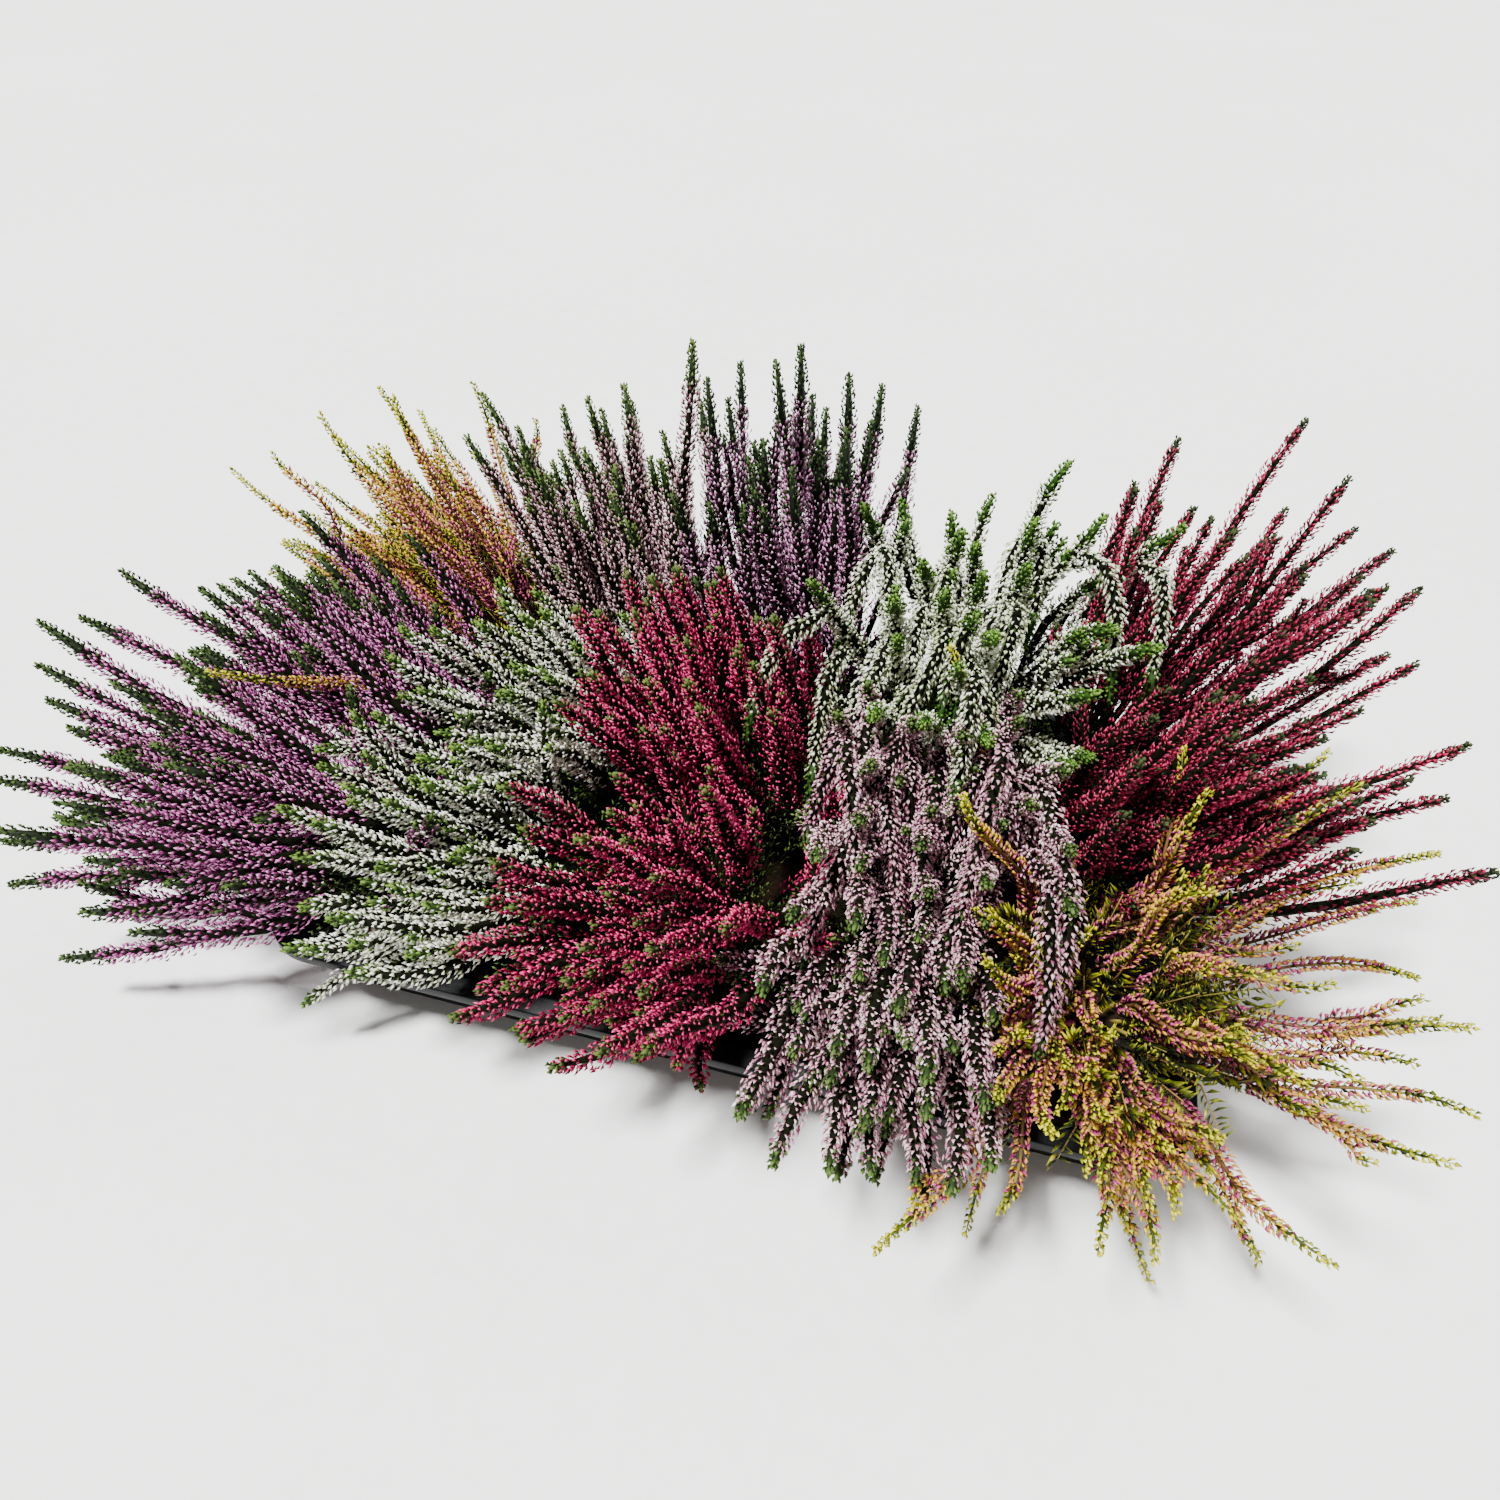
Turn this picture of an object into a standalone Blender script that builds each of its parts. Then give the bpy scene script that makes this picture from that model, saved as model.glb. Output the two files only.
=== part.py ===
"""Potted heather: fifteen bud-blooming heathers in one oblong planter. Metres, +Z up.

The origin is the middle of the planter's underside, with +X along its long side and +Y towards
its back. Each heather is one solid: a woody stem in its own hole in the compost, a low leafy
core, and a flowering shoot drawn out of each upper facet of that core. A shoot is a chain of
three-cornered rings, each turned by half a side against the one below, so that the corners
stand out all over it as clusters of buds.
"""

import math
from typing import NamedTuple

import bmesh
import bpy
import numpy as np
from mathutils import Matrix, Quaternion, Vector

# Planter
RIM_LENGTH = 0.560
RIM_WIDTH = 0.340
PLANTER_HEIGHT = 0.075
CORNER_RADIUS = 0.036
CORNER_STEPS = 4
SMALLEST_CORNER_RADIUS = 0.012
WALL = 0.0025
WALL_TAPER = 0.020
FLANGE = 0.011
FLANGE_DROP = 0.003
LIP_HEIGHT = 0.008
EDGE_ROUNDING = 0.001
BASE_CHAMFER = 0.003

# Compost
CLEARANCE = 0.0003
SIDE_CLEARANCE = 0.0004
COMPOST_BELOW_RIM = 0.007
STEM_HOLE_DEPTH = 0.040
STEM_HOLE_RADIUS = 0.0090
STEM_HOLE_SIDES = 10
HOLE_OVERCUT = 0.010

# Heathers: a grid of cells in the planter, and how far the shoots lean at each corner of the
# cells, in degrees to the right and to the back.
COLUMN_X = (-0.264, -0.159, -0.053, 0.053, 0.159, 0.264)
ROW_Y = (-0.157, -0.052, 0.052, 0.157)
LEAN = (
    ((-80, -28), (-58, -46), (-46, -60), (-18, -66), (24, -76), (62, -78)),
    ((-74, 6), (-40, -4), (-26, -20), (-6, -26), (8, -24), (62, 4)),
    ((-66, 18), (-30, 10), (-14, 0), (-2, -6), (18, -10), (54, 20)),
    ((-62, 34), (-34, 30), (-12, 28), (2, 28), (20, 20), (34, 36)),
)
# Some plants lean their own way: pale pink and white ones arch over towards the front, the
# gold one at the front corner spreads flat, the gold one at the back corner fans out over the
# rim, and the crimson one in the middle and the dark crimson one at the back stand up.
OWN_LEAN = {
    (0, 4): ((-34, -80), (62, -78), (-16, 12), (80, 20)),
    (0, 3): ((-14, -74), (14, -80), (-6, -52), (8, -52)),
    (1, 1): ((-44, -40), (-24, -48), (-32, 2), (-16, -4)),
    (1, 2): ((-28, -12), (-12, -16), (-18, 6), (-6, 2)),
    (1, 3): ((-6, -58), (10, -56), (-2, -20), (12, -22)),
    (2, 0): ((-78, 12), (-40, 6), (-76, 32), (-34, 34)),
    (2, 3): ((-12, -42), (26, -40), (-10, 14), (22, 10)),
    (2, 4): ((8, 2), (54, 20), (2, 30), (38, 34)),
}
CELL_MARGIN = 0.0065
CELL_SQUARENESS = 0.8
CORE_RADIUS = 0.045
CORE_HALF_HEIGHT = 0.026
CORE_ABOVE_RIM = 0.026
CORE_LEAN = 0.6
STEM_RADIUS = 0.0082
STEM_NECK = 0.010
FRONT_SHORTENING = 0.35
LOWEST_TIP = -0.020
LOWEST_BEND = 0.026

# Shoots
SHOOTS = 28
SHOOT_JITTER = 0.12
LENGTH_SPREAD = (0.80, 1.10)
LEADER_SHARE = 0.15
LEADER_GAIN = 1.15
BEND_AT = 0.45
RING_AT = (0.10, 0.30, 0.48, 0.66, 0.84, 1.0)
RING_RADIUS = (0.0042, 0.0070, 0.0080, 0.0077, 0.0060, 0.0014)
ROOT_RISE = 0.009
HALF_SIDE_TURN = math.pi / 3

# Shoots that crowd each other give way, a little in each round.
CROWDING_ROUNDS = 120
CROWDING_STEPS = 16
CROWDING_FROM = 0.07
FACET_RADIUS = 0.0080
STIFFNESS = 0.02
CROWDING_REACH = 0.035
ELBOW_ROOM = 0.0010
YIELD = 0.25


class Heather(NamedTuple):
    """One plant: its cell, its shoots' lengths, how they arch, its random seed and its colour."""

    name: str
    row: int
    column: int
    middle_length: float
    outer_length: float
    arch: float
    seed: int
    color: tuple


PURPLE = (0.38, 0.09, 0.34, 1.0)
WHITE = (0.72, 0.78, 0.60, 1.0)
CRIMSON = (0.55, 0.03, 0.10, 1.0)
DARK_CRIMSON = (0.30, 0.01, 0.05, 1.0)
PALE_PINK = (0.70, 0.42, 0.55, 1.0)
GOLD = (0.68, 0.50, 0.06, 1.0)
LIGHT_PINK = (0.52, 0.33, 0.42, 1.0)
MAUVE = (0.33, 0.14, 0.30, 1.0)
WHITE_GREEN = (0.50, 0.65, 0.38, 1.0)

HEATHERS = (
    Heather("heather_purple_front", 0, 0, 0.185, 0.195, -0.04, 11, PURPLE),
    Heather("heather_white_front", 0, 1, 0.120, 0.130, -0.02, 12, WHITE),
    Heather("heather_crimson_front", 0, 2, 0.155, 0.150, -0.02, 13, CRIMSON),
    Heather("heather_pale_pink_front", 0, 3, 0.135, 0.135, 0.12, 14, PALE_PINK),
    Heather("heather_gold_front", 0, 4, 0.110, 0.165, 0.02, 15, GOLD),
    Heather("heather_purple_middle", 1, 0, 0.175, 0.170, -0.04, 16, PURPLE),
    Heather("heather_white_middle", 1, 1, 0.140, 0.140, 0.08, 17, WHITE),
    Heather("heather_crimson_middle", 1, 2, 0.152, 0.146, -0.02, 18, CRIMSON),
    Heather("heather_pale_pink_middle", 1, 3, 0.150, 0.150, 0.16, 19, PALE_PINK),
    Heather("heather_dark_crimson_middle", 1, 4, 0.155, 0.170, 0.00, 20, DARK_CRIMSON),
    Heather("heather_gold_back", 2, 0, 0.180, 0.205, 0.02, 21, GOLD),
    Heather("heather_light_pink_back", 2, 1, 0.180, 0.175, 0.00, 22, LIGHT_PINK),
    Heather("heather_mauve_back", 2, 2, 0.205, 0.190, 0.00, 23, MAUVE),
    Heather("heather_white_green_back", 2, 3, 0.180, 0.170, 0.20, 24, WHITE_GREEN),
    Heather("heather_dark_crimson_back", 2, 4, 0.190, 0.185, 0.00, 25, DARK_CRIMSON),
)


def clear_scene():
    """Remove what the startup scene holds."""
    for obj in list(bpy.data.objects):
        bpy.data.objects.remove(obj)


def make_collection(name):
    """Return a new collection in the scene."""
    collection = bpy.data.collections.new(name)
    bpy.context.scene.collection.children.link(collection)
    return collection


def make_material(name, color, roughness):
    """Return a plain Principled material."""
    material = bpy.data.materials.new(name)
    material.use_nodes = True
    shader = material.node_tree.nodes["Principled BSDF"]
    shader.inputs["Base Color"].default_value = color
    shader.inputs["Roughness"].default_value = roughness
    shader.inputs["Metallic"].default_value = 0.0
    return material


def make_object(name, bm, collection, material):
    """Write the bmesh to a new object with this material."""
    bmesh.ops.recalc_face_normals(bm, faces=bm.faces)
    mesh = bpy.data.meshes.new(name)
    bm.to_mesh(mesh)
    bm.free()
    mesh.materials.append(material)
    obj = bpy.data.objects.new(name, mesh)
    collection.objects.link(obj)
    return obj


def rounded_outline(inset, z):
    """Return the points of the rim's rounded oblong, moved in by inset, at height z."""
    half_length = RIM_LENGTH / 2 - inset
    half_width = RIM_WIDTH / 2 - inset
    radius = max(CORNER_RADIUS - inset, SMALLEST_CORNER_RADIUS)
    points = []
    for turn in range(4):
        x_side = 1 if turn in (0, 3) else -1
        y_side = 1 if turn in (0, 1) else -1
        for step in range(CORNER_STEPS + 1):
            angle = math.pi / 2 * (turn + step / CORNER_STEPS)
            x = x_side * (half_length - radius) + radius * math.cos(angle)
            y = y_side * (half_width - radius) + radius * math.sin(angle)
            points.append(Vector((x, y, z)))
    return points


def loft(bm, sections):
    """Join closed sections of as many points each with faces, and cap both ends."""
    rings = [[bm.verts.new(point) for point in section] for section in sections]
    count = len(rings[0])
    for lower, upper in zip(rings, rings[1:]):
        for i in range(count):
            j = (i + 1) % count
            bm.faces.new((lower[i], lower[j], upper[j], upper[i]))
    bm.faces.new(list(reversed(rings[0])))
    bm.faces.new(rings[-1])


def wall_inset(z):
    """Return how far the planter's outer wall stands in from the rim's edge at height z."""
    return FLANGE + WALL_TAPER * (PLANTER_HEIGHT - z) / PLANTER_HEIGHT


def build_planter(collection):
    """Build the planter: tapered walls, a sloped flange round the rim and its turned-down lip."""
    top = PLANTER_HEIGHT
    flange_edge = top - FLANGE_DROP
    under_flange = flange_edge - WALL
    lip_bottom = flange_edge - LIP_HEIGHT
    profile = (
        (wall_inset(0.0) + BASE_CHAMFER, 0.0),
        (wall_inset(BASE_CHAMFER), BASE_CHAMFER),
        (wall_inset(under_flange), under_flange),
        (WALL, under_flange),
        (WALL, lip_bottom),
        (0.0, lip_bottom),
        (0.0, flange_edge - EDGE_ROUNDING),
        (EDGE_ROUNDING, flange_edge),
        (FLANGE, top),
        (FLANGE + EDGE_ROUNDING, top - EDGE_ROUNDING / 2),
        (wall_inset(flange_edge) + WALL, flange_edge),
        (wall_inset(WALL) + WALL, WALL),
    )
    bm = bmesh.new()
    loft(bm, [rounded_outline(inset, z) for inset, z in profile])
    material = make_material("slate_black_plastic", (0.012, 0.015, 0.020, 1.0), 0.38)
    return make_object("planter", bm, collection, material)


def build_compost(collection, cutters):
    """Build the compost, a block that fills the planter, with a hole for each stem."""
    top = PLANTER_HEIGHT - COMPOST_BELOW_RIM
    bottom = WALL + CLEARANCE
    gap = WALL + SIDE_CLEARANCE
    bm = bmesh.new()
    loft(bm, [rounded_outline(wall_inset(z) + gap, z) for z in (bottom, top)])
    material = make_material("peat_compost", (0.020, 0.013, 0.009, 1.0), 0.95)
    compost = make_object("compost", bm, collection, material)

    holes = bmesh.new()
    depth = STEM_HOLE_DEPTH + HOLE_OVERCUT
    for heather in HEATHERS:
        x, y = cell_centre(heather)
        made = bmesh.ops.create_cone(
            holes,
            cap_ends=True,
            segments=STEM_HOLE_SIDES,
            radius1=STEM_HOLE_RADIUS,
            radius2=STEM_HOLE_RADIUS,
            depth=depth,
        )
        middle = Vector((x, y, top - STEM_HOLE_DEPTH + depth / 2))
        bmesh.ops.translate(holes, verts=made["verts"], vec=middle)
    cutter = make_object("stem_holes", holes, cutters, material)
    cutter.hide_render = True
    cutter.display_type = "WIRE"
    cut = compost.modifiers.new("stem_holes", "BOOLEAN")
    cut.operation = "DIFFERENCE"
    cut.solver = "EXACT"
    cut.object = cutter
    return compost


def cell_centre(heather):
    """Return x and y of the middle of the heather's cell."""
    x = (COLUMN_X[heather.column] + COLUMN_X[heather.column + 1]) / 2
    y = (ROW_Y[heather.row] + ROW_Y[heather.row + 1]) / 2
    return x, y


def across_cell(corners, across, along):
    """Blend values at a cell's four corners; across and along run from -1 to 1."""
    u = ((across + 1) / 2)[:, None]
    v = ((along + 1) / 2)[:, None]
    front = (1 - u) * corners[0] + u * corners[1]
    back = (1 - u) * corners[2] + u * corners[3]
    return (1 - v) * front + v * back


def leaning(lean):
    """Return unit vectors that lean from upright by these angles, to the right and to the back."""
    tilt = np.maximum(np.hypot(lean[:, 0], lean[:, 1]), 1e-9)
    side = lean * (np.sin(tilt) / tilt)[:, None]
    return np.column_stack((side, np.cos(tilt)))


def corner_leans(heather):
    """Return the lean at the four corners of the heather's cell, in radians."""
    row, column = heather.row, heather.column
    corners = LEAN[row][column : column + 2] + LEAN[row + 1][column : column + 2]
    return np.radians(np.array(OWN_LEAN.get((row, column), corners), float))


def core_axis(heather):
    """Return the unit vector that the core's crown faces, which leans less than its shoots."""
    return leaning(corner_leans(heather).mean(axis=0, keepdims=True) * CORE_LEAN)[0]


def shoot_curves(heather, facings):
    """Return start, bend and tip of each shoot, from the way its facet of the core faces."""
    rng = np.random.default_rng(heather.seed)
    count = len(facings)
    upright = Vector(core_axis(heather)).rotation_difference(Vector((0, 0, 1)))
    turned = facings @ np.array(upright.to_matrix()).T
    tilt = np.arccos(np.clip(turned[:, 2], -1, 1))
    outward = tilt / tilt.max()
    heading = np.arctan2(turned[:, 1], turned[:, 0])
    squareness = np.maximum(np.abs(np.cos(heading)), np.abs(np.sin(heading)))
    place = outward / squareness**CELL_SQUARENESS * np.array((np.cos(heading), np.sin(heading)))
    place = np.clip(place + rng.uniform(-SHOOT_JITTER, SHOOT_JITTER, (2, count)), -1, 1)
    across, along = place

    aim = leaning(across_cell(corner_leans(heather), across, along))

    length = heather.middle_length + (heather.outer_length - heather.middle_length) * outward
    length *= rng.uniform(*LENGTH_SPREAD, count)
    length *= np.where(rng.uniform(0, 1, count) < LEADER_SHARE, LEADER_GAIN, 1.0)
    if heather.row == 0:
        length *= 1 - FRONT_SHORTENING * np.clip(-along, 0, 1) ** 2
    length = length[:, None]

    x, y = cell_centre(heather)
    middle = np.array((x, y, PLANTER_HEIGHT + CORE_ABOVE_RIM))
    half_x = x - COLUMN_X[heather.column] - CELL_MARGIN
    half_y = y - ROW_Y[heather.row] - CELL_MARGIN
    root = middle + np.column_stack((across * half_x, along * half_y, np.zeros(count)))
    core = np.array((CORE_RADIUS, CORE_RADIUS, CORE_HALF_HEIGHT))
    start = middle + facings * core
    bend = root + aim * length * BEND_AT
    bend[:, 2] += heather.arch * length[:, 0]
    tip = root + aim * length
    return lifted(np.array((start, bend, tip)))


def lifted(curves):
    """Lift the bends and tips that would reach too far down."""
    curves[1, :, 2] = np.maximum(curves[1, :, 2], PLANTER_HEIGHT + LOWEST_BEND)
    curves[2, :, 2] = np.maximum(curves[2, :, 2], PLANTER_HEIGHT + LOWEST_TIP)
    return curves


def along_curves(curves, t):
    """Return the points of many curves, held as (control point, curve, axis), at each t."""
    t = np.asarray(t)[:, None, None]
    start, bend, tip = curves
    return start * (1 - t) ** 2 + bend * 2 * t * (1 - t) + tip * t**2


def near_pairs(curves, t):
    """Return the pairs of shoots that may crowd each other, as two lists."""
    points = along_curves(curves, t).transpose(1, 0, 2)
    first, second = [], []
    for i, path in enumerate(points[:-1]):
        gap = np.linalg.norm(points[i + 1 :] - path, axis=2).min(axis=1)
        found = np.flatnonzero(gap < CROWDING_REACH)
        first += [i] * len(found)
        second += list(i + 1 + found)
    return np.array(first), np.array(second)


def give_way(curves):
    """Push shoots apart where they crowd each other, by moving their bends and tips."""
    curves = curves.copy()
    t = np.linspace(CROWDING_FROM, 1.0, CROWDING_STEPS)
    radius = np.interp(t, (0, *RING_AT), (FACET_RADIUS, *RING_RADIUS))
    room = radius[:, None] + radius[None, :] + ELBOW_ROOM
    weight = np.stack((2 * t * (1 - t), t**2))
    weight /= (weight**2).sum(axis=0) + STIFFNESS
    first, second = near_pairs(curves, t)
    rows = np.arange(len(first))
    for _ in range(CROWDING_ROUNDS):
        points = along_curves(curves, t).transpose(1, 0, 2)
        gap = points[first][:, :, None] - points[second][:, None, :]
        distance = np.linalg.norm(gap, axis=3)
        overlap = (room - distance).reshape(len(first), -1)
        worst = overlap.argmax(axis=1)
        a, b = np.unravel_index(worst, room.shape)
        push = np.clip(overlap[rows, worst], 0, None) / np.maximum(distance[rows, a, b], 1e-6)
        push = YIELD * push[:, None] * gap[rows, a, b]
        for point in (0, 1):
            np.add.at(curves[point + 1], first, weight[point][a][:, None] * push)
            np.add.at(curves[point + 1], second, -weight[point][b][:, None] * push)
        curves = lifted(curves)
    return curves


def grow_shoot(bm, face, curve):
    """Draw the facet out along its curve as a chain of rings, each turned by half a side.

    The first ring stands square above the facet, so that the root of the shoot is regular.
    """
    start, bend, tip = (Vector(point) for point in curve)
    middle = face.calc_center_median()
    was_along = face.normal.copy()
    for t, radius in zip(RING_AT, RING_RADIUS):
        if t == RING_AT[0]:
            centre = middle + ROOT_RISE * was_along
            along = was_along
        else:
            centre = start * (1 - t) ** 2 + bend * 2 * t * (1 - t) + tip * t**2
            along = ((bend - start) * (1 - t) + (tip - bend) * t).normalized()
        swing = was_along.rotation_difference(along)
        turn = Quaternion(along, HALF_SIDE_TURN)
        face = bmesh.ops.extrude_discrete_faces(bm, faces=[face])["faces"][0]
        for vert in face.verts:
            arm = swing @ (vert.co - middle)
            arm -= arm.project(along)
            vert.co = centre + radius * (turn @ arm.normalized())
        middle = centre
        was_along = along


def grow_stem(bm, face, heather):
    """Draw the core's flat underside down into the compost as the woody stem."""
    x, y = cell_centre(heather)
    compost_top = PLANTER_HEIGHT - COMPOST_BELOW_RIM
    neck = compost_top + STEM_NECK
    foot = compost_top - STEM_HOLE_DEPTH + CLEARANCE
    for z in (neck, foot):
        face = bmesh.ops.extrude_discrete_faces(bm, faces=[face])["faces"][0]
        for vert in face.verts:
            arm = Vector((vert.co.x - x, vert.co.y - y, 0)).normalized()
            vert.co = Vector((x, y, z)) + STEM_RADIUS * arm


def core_mesh(heather):
    """Return the round core, its upper facets from the top down and its flat underside."""
    bm = bmesh.new()
    bmesh.ops.create_icosphere(bm, subdivisions=2, radius=1.0)
    spin = Matrix.Rotation(heather.seed, 3, "Z")
    bmesh.ops.rotate(bm, verts=bm.verts, cent=(0, 0, 0), matrix=spin)
    bmesh.ops.dissolve_verts(bm, verts=[min(bm.verts, key=lambda vert: vert.co.z)])
    underside = min(bm.faces, key=lambda face: face.calc_center_median().z)
    axis = Vector(core_axis(heather))
    others = [face for face in bm.faces if face != underside]
    others.sort(key=lambda face: -axis.dot(face.calc_center_median()))
    return bm, others[:SHOOTS], underside


def facet_facings(heather):
    """Return the unit vectors of the facets that the heather's shoots grow from."""
    bm, upper, _ = core_mesh(heather)
    facings = np.array([face.calc_center_median().normalized() for face in upper])
    bm.free()
    return facings


def all_shoots():
    """Return the curves of every heather's shoots, once they have given way to each other."""
    curves = [shoot_curves(heather, facet_facings(heather)) for heather in HEATHERS]
    eased = give_way(np.concatenate(curves, axis=1))
    return np.split(eased, len(HEATHERS), axis=1)


def build_heather(heather, curves, collection):
    """Build one heather as one solid: its stem, its leafy core and its flowering shoots."""
    bm, upper, underside = core_mesh(heather)
    x, y = cell_centre(heather)
    core = Vector((CORE_RADIUS, CORE_RADIUS, CORE_HALF_HEIGHT))
    middle = Vector((x, y, PLANTER_HEIGHT + CORE_ABOVE_RIM))
    for vert in bm.verts:
        vert.co = middle + vert.co * core
    bm.normal_update()
    grow_stem(bm, underside, heather)
    for face, curve in zip(upper, curves.transpose(1, 0, 2)):
        grow_shoot(bm, face, curve)
    bmesh.ops.triangulate(bm, faces=bm.faces, quad_method="FIXED")
    bmesh.ops.translate(bm, verts=bm.verts, vec=-middle)
    material = make_material(heather.name, heather.color, 0.70)
    plant = make_object(heather.name, bm, collection, material)
    plant.location = middle
    return plant


def main():
    """Build the planter, the compost and the heathers."""
    clear_scene()
    parts = make_collection("potted_heather")
    cutters = make_collection("cutters")
    build_planter(parts)
    build_compost(parts, cutters)
    for heather, curves in zip(HEATHERS, all_shoots()):
        build_heather(heather, curves, parts)


if __name__ == "__main__":
    main()
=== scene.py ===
"""Potted heather: the looks of a long planter packed with bud-blooming heathers. Metres, +Z up.

The frame holds each heather as a plain solid. Here every heather is grown again along the same
curves, as three pieces that stand for that solid: its twigs, its petals and its leaves. Each small
shape, such as a bud, a scale or a needle, is a keeled kite of four faces that is stamped along the
shoots as whole arrays. The planter and the compost are surfaces worked out on grids.
"""

from __future__ import annotations

import logging
import math
from collections.abc import Callable
from dataclasses import dataclass, field, replace
from enum import Enum
from typing import Any, ClassVar

import bmesh
import bpy
import numpy as np
from mathutils import Matrix, Quaternion, Vector

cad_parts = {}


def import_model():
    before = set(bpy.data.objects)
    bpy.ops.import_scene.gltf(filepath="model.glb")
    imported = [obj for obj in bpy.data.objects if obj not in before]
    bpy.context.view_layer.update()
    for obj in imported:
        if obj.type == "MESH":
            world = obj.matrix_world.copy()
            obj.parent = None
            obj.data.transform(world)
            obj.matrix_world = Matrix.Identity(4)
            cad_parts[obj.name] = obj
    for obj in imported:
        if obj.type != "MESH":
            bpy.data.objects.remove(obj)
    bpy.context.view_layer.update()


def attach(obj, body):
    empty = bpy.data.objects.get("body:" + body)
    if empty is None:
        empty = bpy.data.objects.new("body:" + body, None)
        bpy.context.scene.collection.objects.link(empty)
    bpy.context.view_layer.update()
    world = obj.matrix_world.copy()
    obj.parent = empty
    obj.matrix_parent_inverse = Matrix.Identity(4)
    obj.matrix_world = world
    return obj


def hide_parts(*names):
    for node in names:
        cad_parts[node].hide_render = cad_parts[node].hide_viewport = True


log = logging.getLogger("potted_heather")

Array = np.ndarray
Color = tuple[float, float, float, float]
Point = tuple[float, float, float]
Range = tuple[float, float]

GOLDEN_TURN = math.pi * (3 - math.sqrt(5))
SHADE_MAP = "OFBake"
FOOT_AND_TIP = (0.02, 0.98)


def srgb(code: str) -> Color:
    """Return a colour written as six hexadecimal digits as linear values with alpha.

    Args:
        code: red, green and blue as two digits each.

    Returns:
        Linear red, green and blue, and an alpha of 1.
    """
    values = [int(code[i : i + 2], 16) / 255 for i in (0, 2, 4)]
    red, green, blue = (v / 12.92 if v < 0.04045 else ((v + 0.055) / 1.055) ** 2.4 for v in values)
    return red, green, blue, 1.0


def unit(vectors: Array) -> Array:
    """Return the vectors along the last axis scaled to length 1."""
    return vectors / np.maximum(np.linalg.norm(vectors, axis=-1, keepdims=True), 1e-12)


def quadratic(start: Array, bend: Array, tip: Array, t: Array) -> Array:
    """Return points on quadratic curves: start (1 - t)^2 + 2 bend t (1 - t) + tip t^2.

    Args:
        start: where the curves start.
        bend: the points that they bend towards.
        tip: where they end.
        t: place along the curves, from 0 to 1.

    Returns:
        The points.
    """
    return start * (1 - t) ** 2 + bend * 2 * t * (1 - t) + tip * t**2


def circle(sides: int) -> Array:
    """Return that many angles, evenly spread over a full turn."""
    return np.arange(sides) * 2 * math.pi / sides


@dataclass(frozen=True)
class Ramp:
    """Four shades of one colour, from the darkest to the palest, with its foot and its tip.

    Attributes:
        shades: four colours that the small shapes of a piece are spread over.
        foot: colour at the attached end of a small shape: partly the shape's own darker base,
            partly painted shade where the shapes crowd.
        tip: colour at its free end: partly the shape's own paler tip, partly a painted highlight.
        foot_shade_share: how much of the foot's colour, painted shade included, shows at the very foot.
        tip_highlight_share: how much of the tip's colour, painted highlight included, shows at the very
            tip.
    """

    shades: tuple[str, str, str, str]
    foot: str
    tip: str
    foot_shade_share: float = 0.8
    tip_highlight_share: float = 0.6


@dataclass(frozen=True)
class Wiring:
    """A shader's node tree, to which each call adds a node.

    Attributes:
        tree: the node tree.
    """

    tree: bpy.types.NodeTree

    def feed(self, node: bpy.types.Node, inputs: dict[str | int, Any]) -> None:
        """Join each input of a node to a socket, or set it to a value.

        Args:
            node: the node.
            inputs: the socket or the value for each input's name or number.
        """
        for key, value in inputs.items():
            if isinstance(value, bpy.types.NodeSocket):
                self.tree.links.new(value, node.inputs[key])
            else:
                node.inputs[key].default_value = value

    def add(self, kind: str, inputs: dict[str | int, Any], **settings: Any) -> bpy.types.Node:
        """Return a new node.

        Args:
            kind: its type, without the word ShaderNode.
            inputs: the socket or the value for each input's name or number.
            settings: the node's own settings.

        Returns:
            The node.
        """
        node = self.tree.nodes.new("ShaderNode" + kind)
        for name, value in settings.items():
            setattr(node, name, value)
        self.feed(node, inputs)
        return node

    def stepped(self, value: bpy.types.NodeSocket, low: float, high: float) -> bpy.types.NodeSocket:
        """Return a socket that rises smoothly from 0 at low to 1 at high.

        Args:
            value: the socket that is read.
            low: value at which the result is 0.
            high: value at which the result is 1.

        Returns:
            The socket of the result.
        """
        rising = float(low < high)
        source = {"Value": value, "From Min": min(low, high), "From Max": max(low, high)}
        result = {"To Min": 1 - rising, "To Max": rising}
        return self.add("MapRange", source | result, interpolation_type="SMOOTHSTEP").outputs["Result"]

    def blended(self, share: bpy.types.NodeSocket, *colors: bpy.types.NodeSocket) -> bpy.types.NodeSocket:
        """Return a socket that blends two colours.

        Args:
            share: how much of the second colour shows.
            colors: the first colour and the second.

        Returns:
            The socket of the blend.
        """
        inputs = {"Factor": share, "A": colors[0], "B": colors[1]}
        return self.add("Mix", inputs, data_type="RGBA").outputs["Result"]


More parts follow.
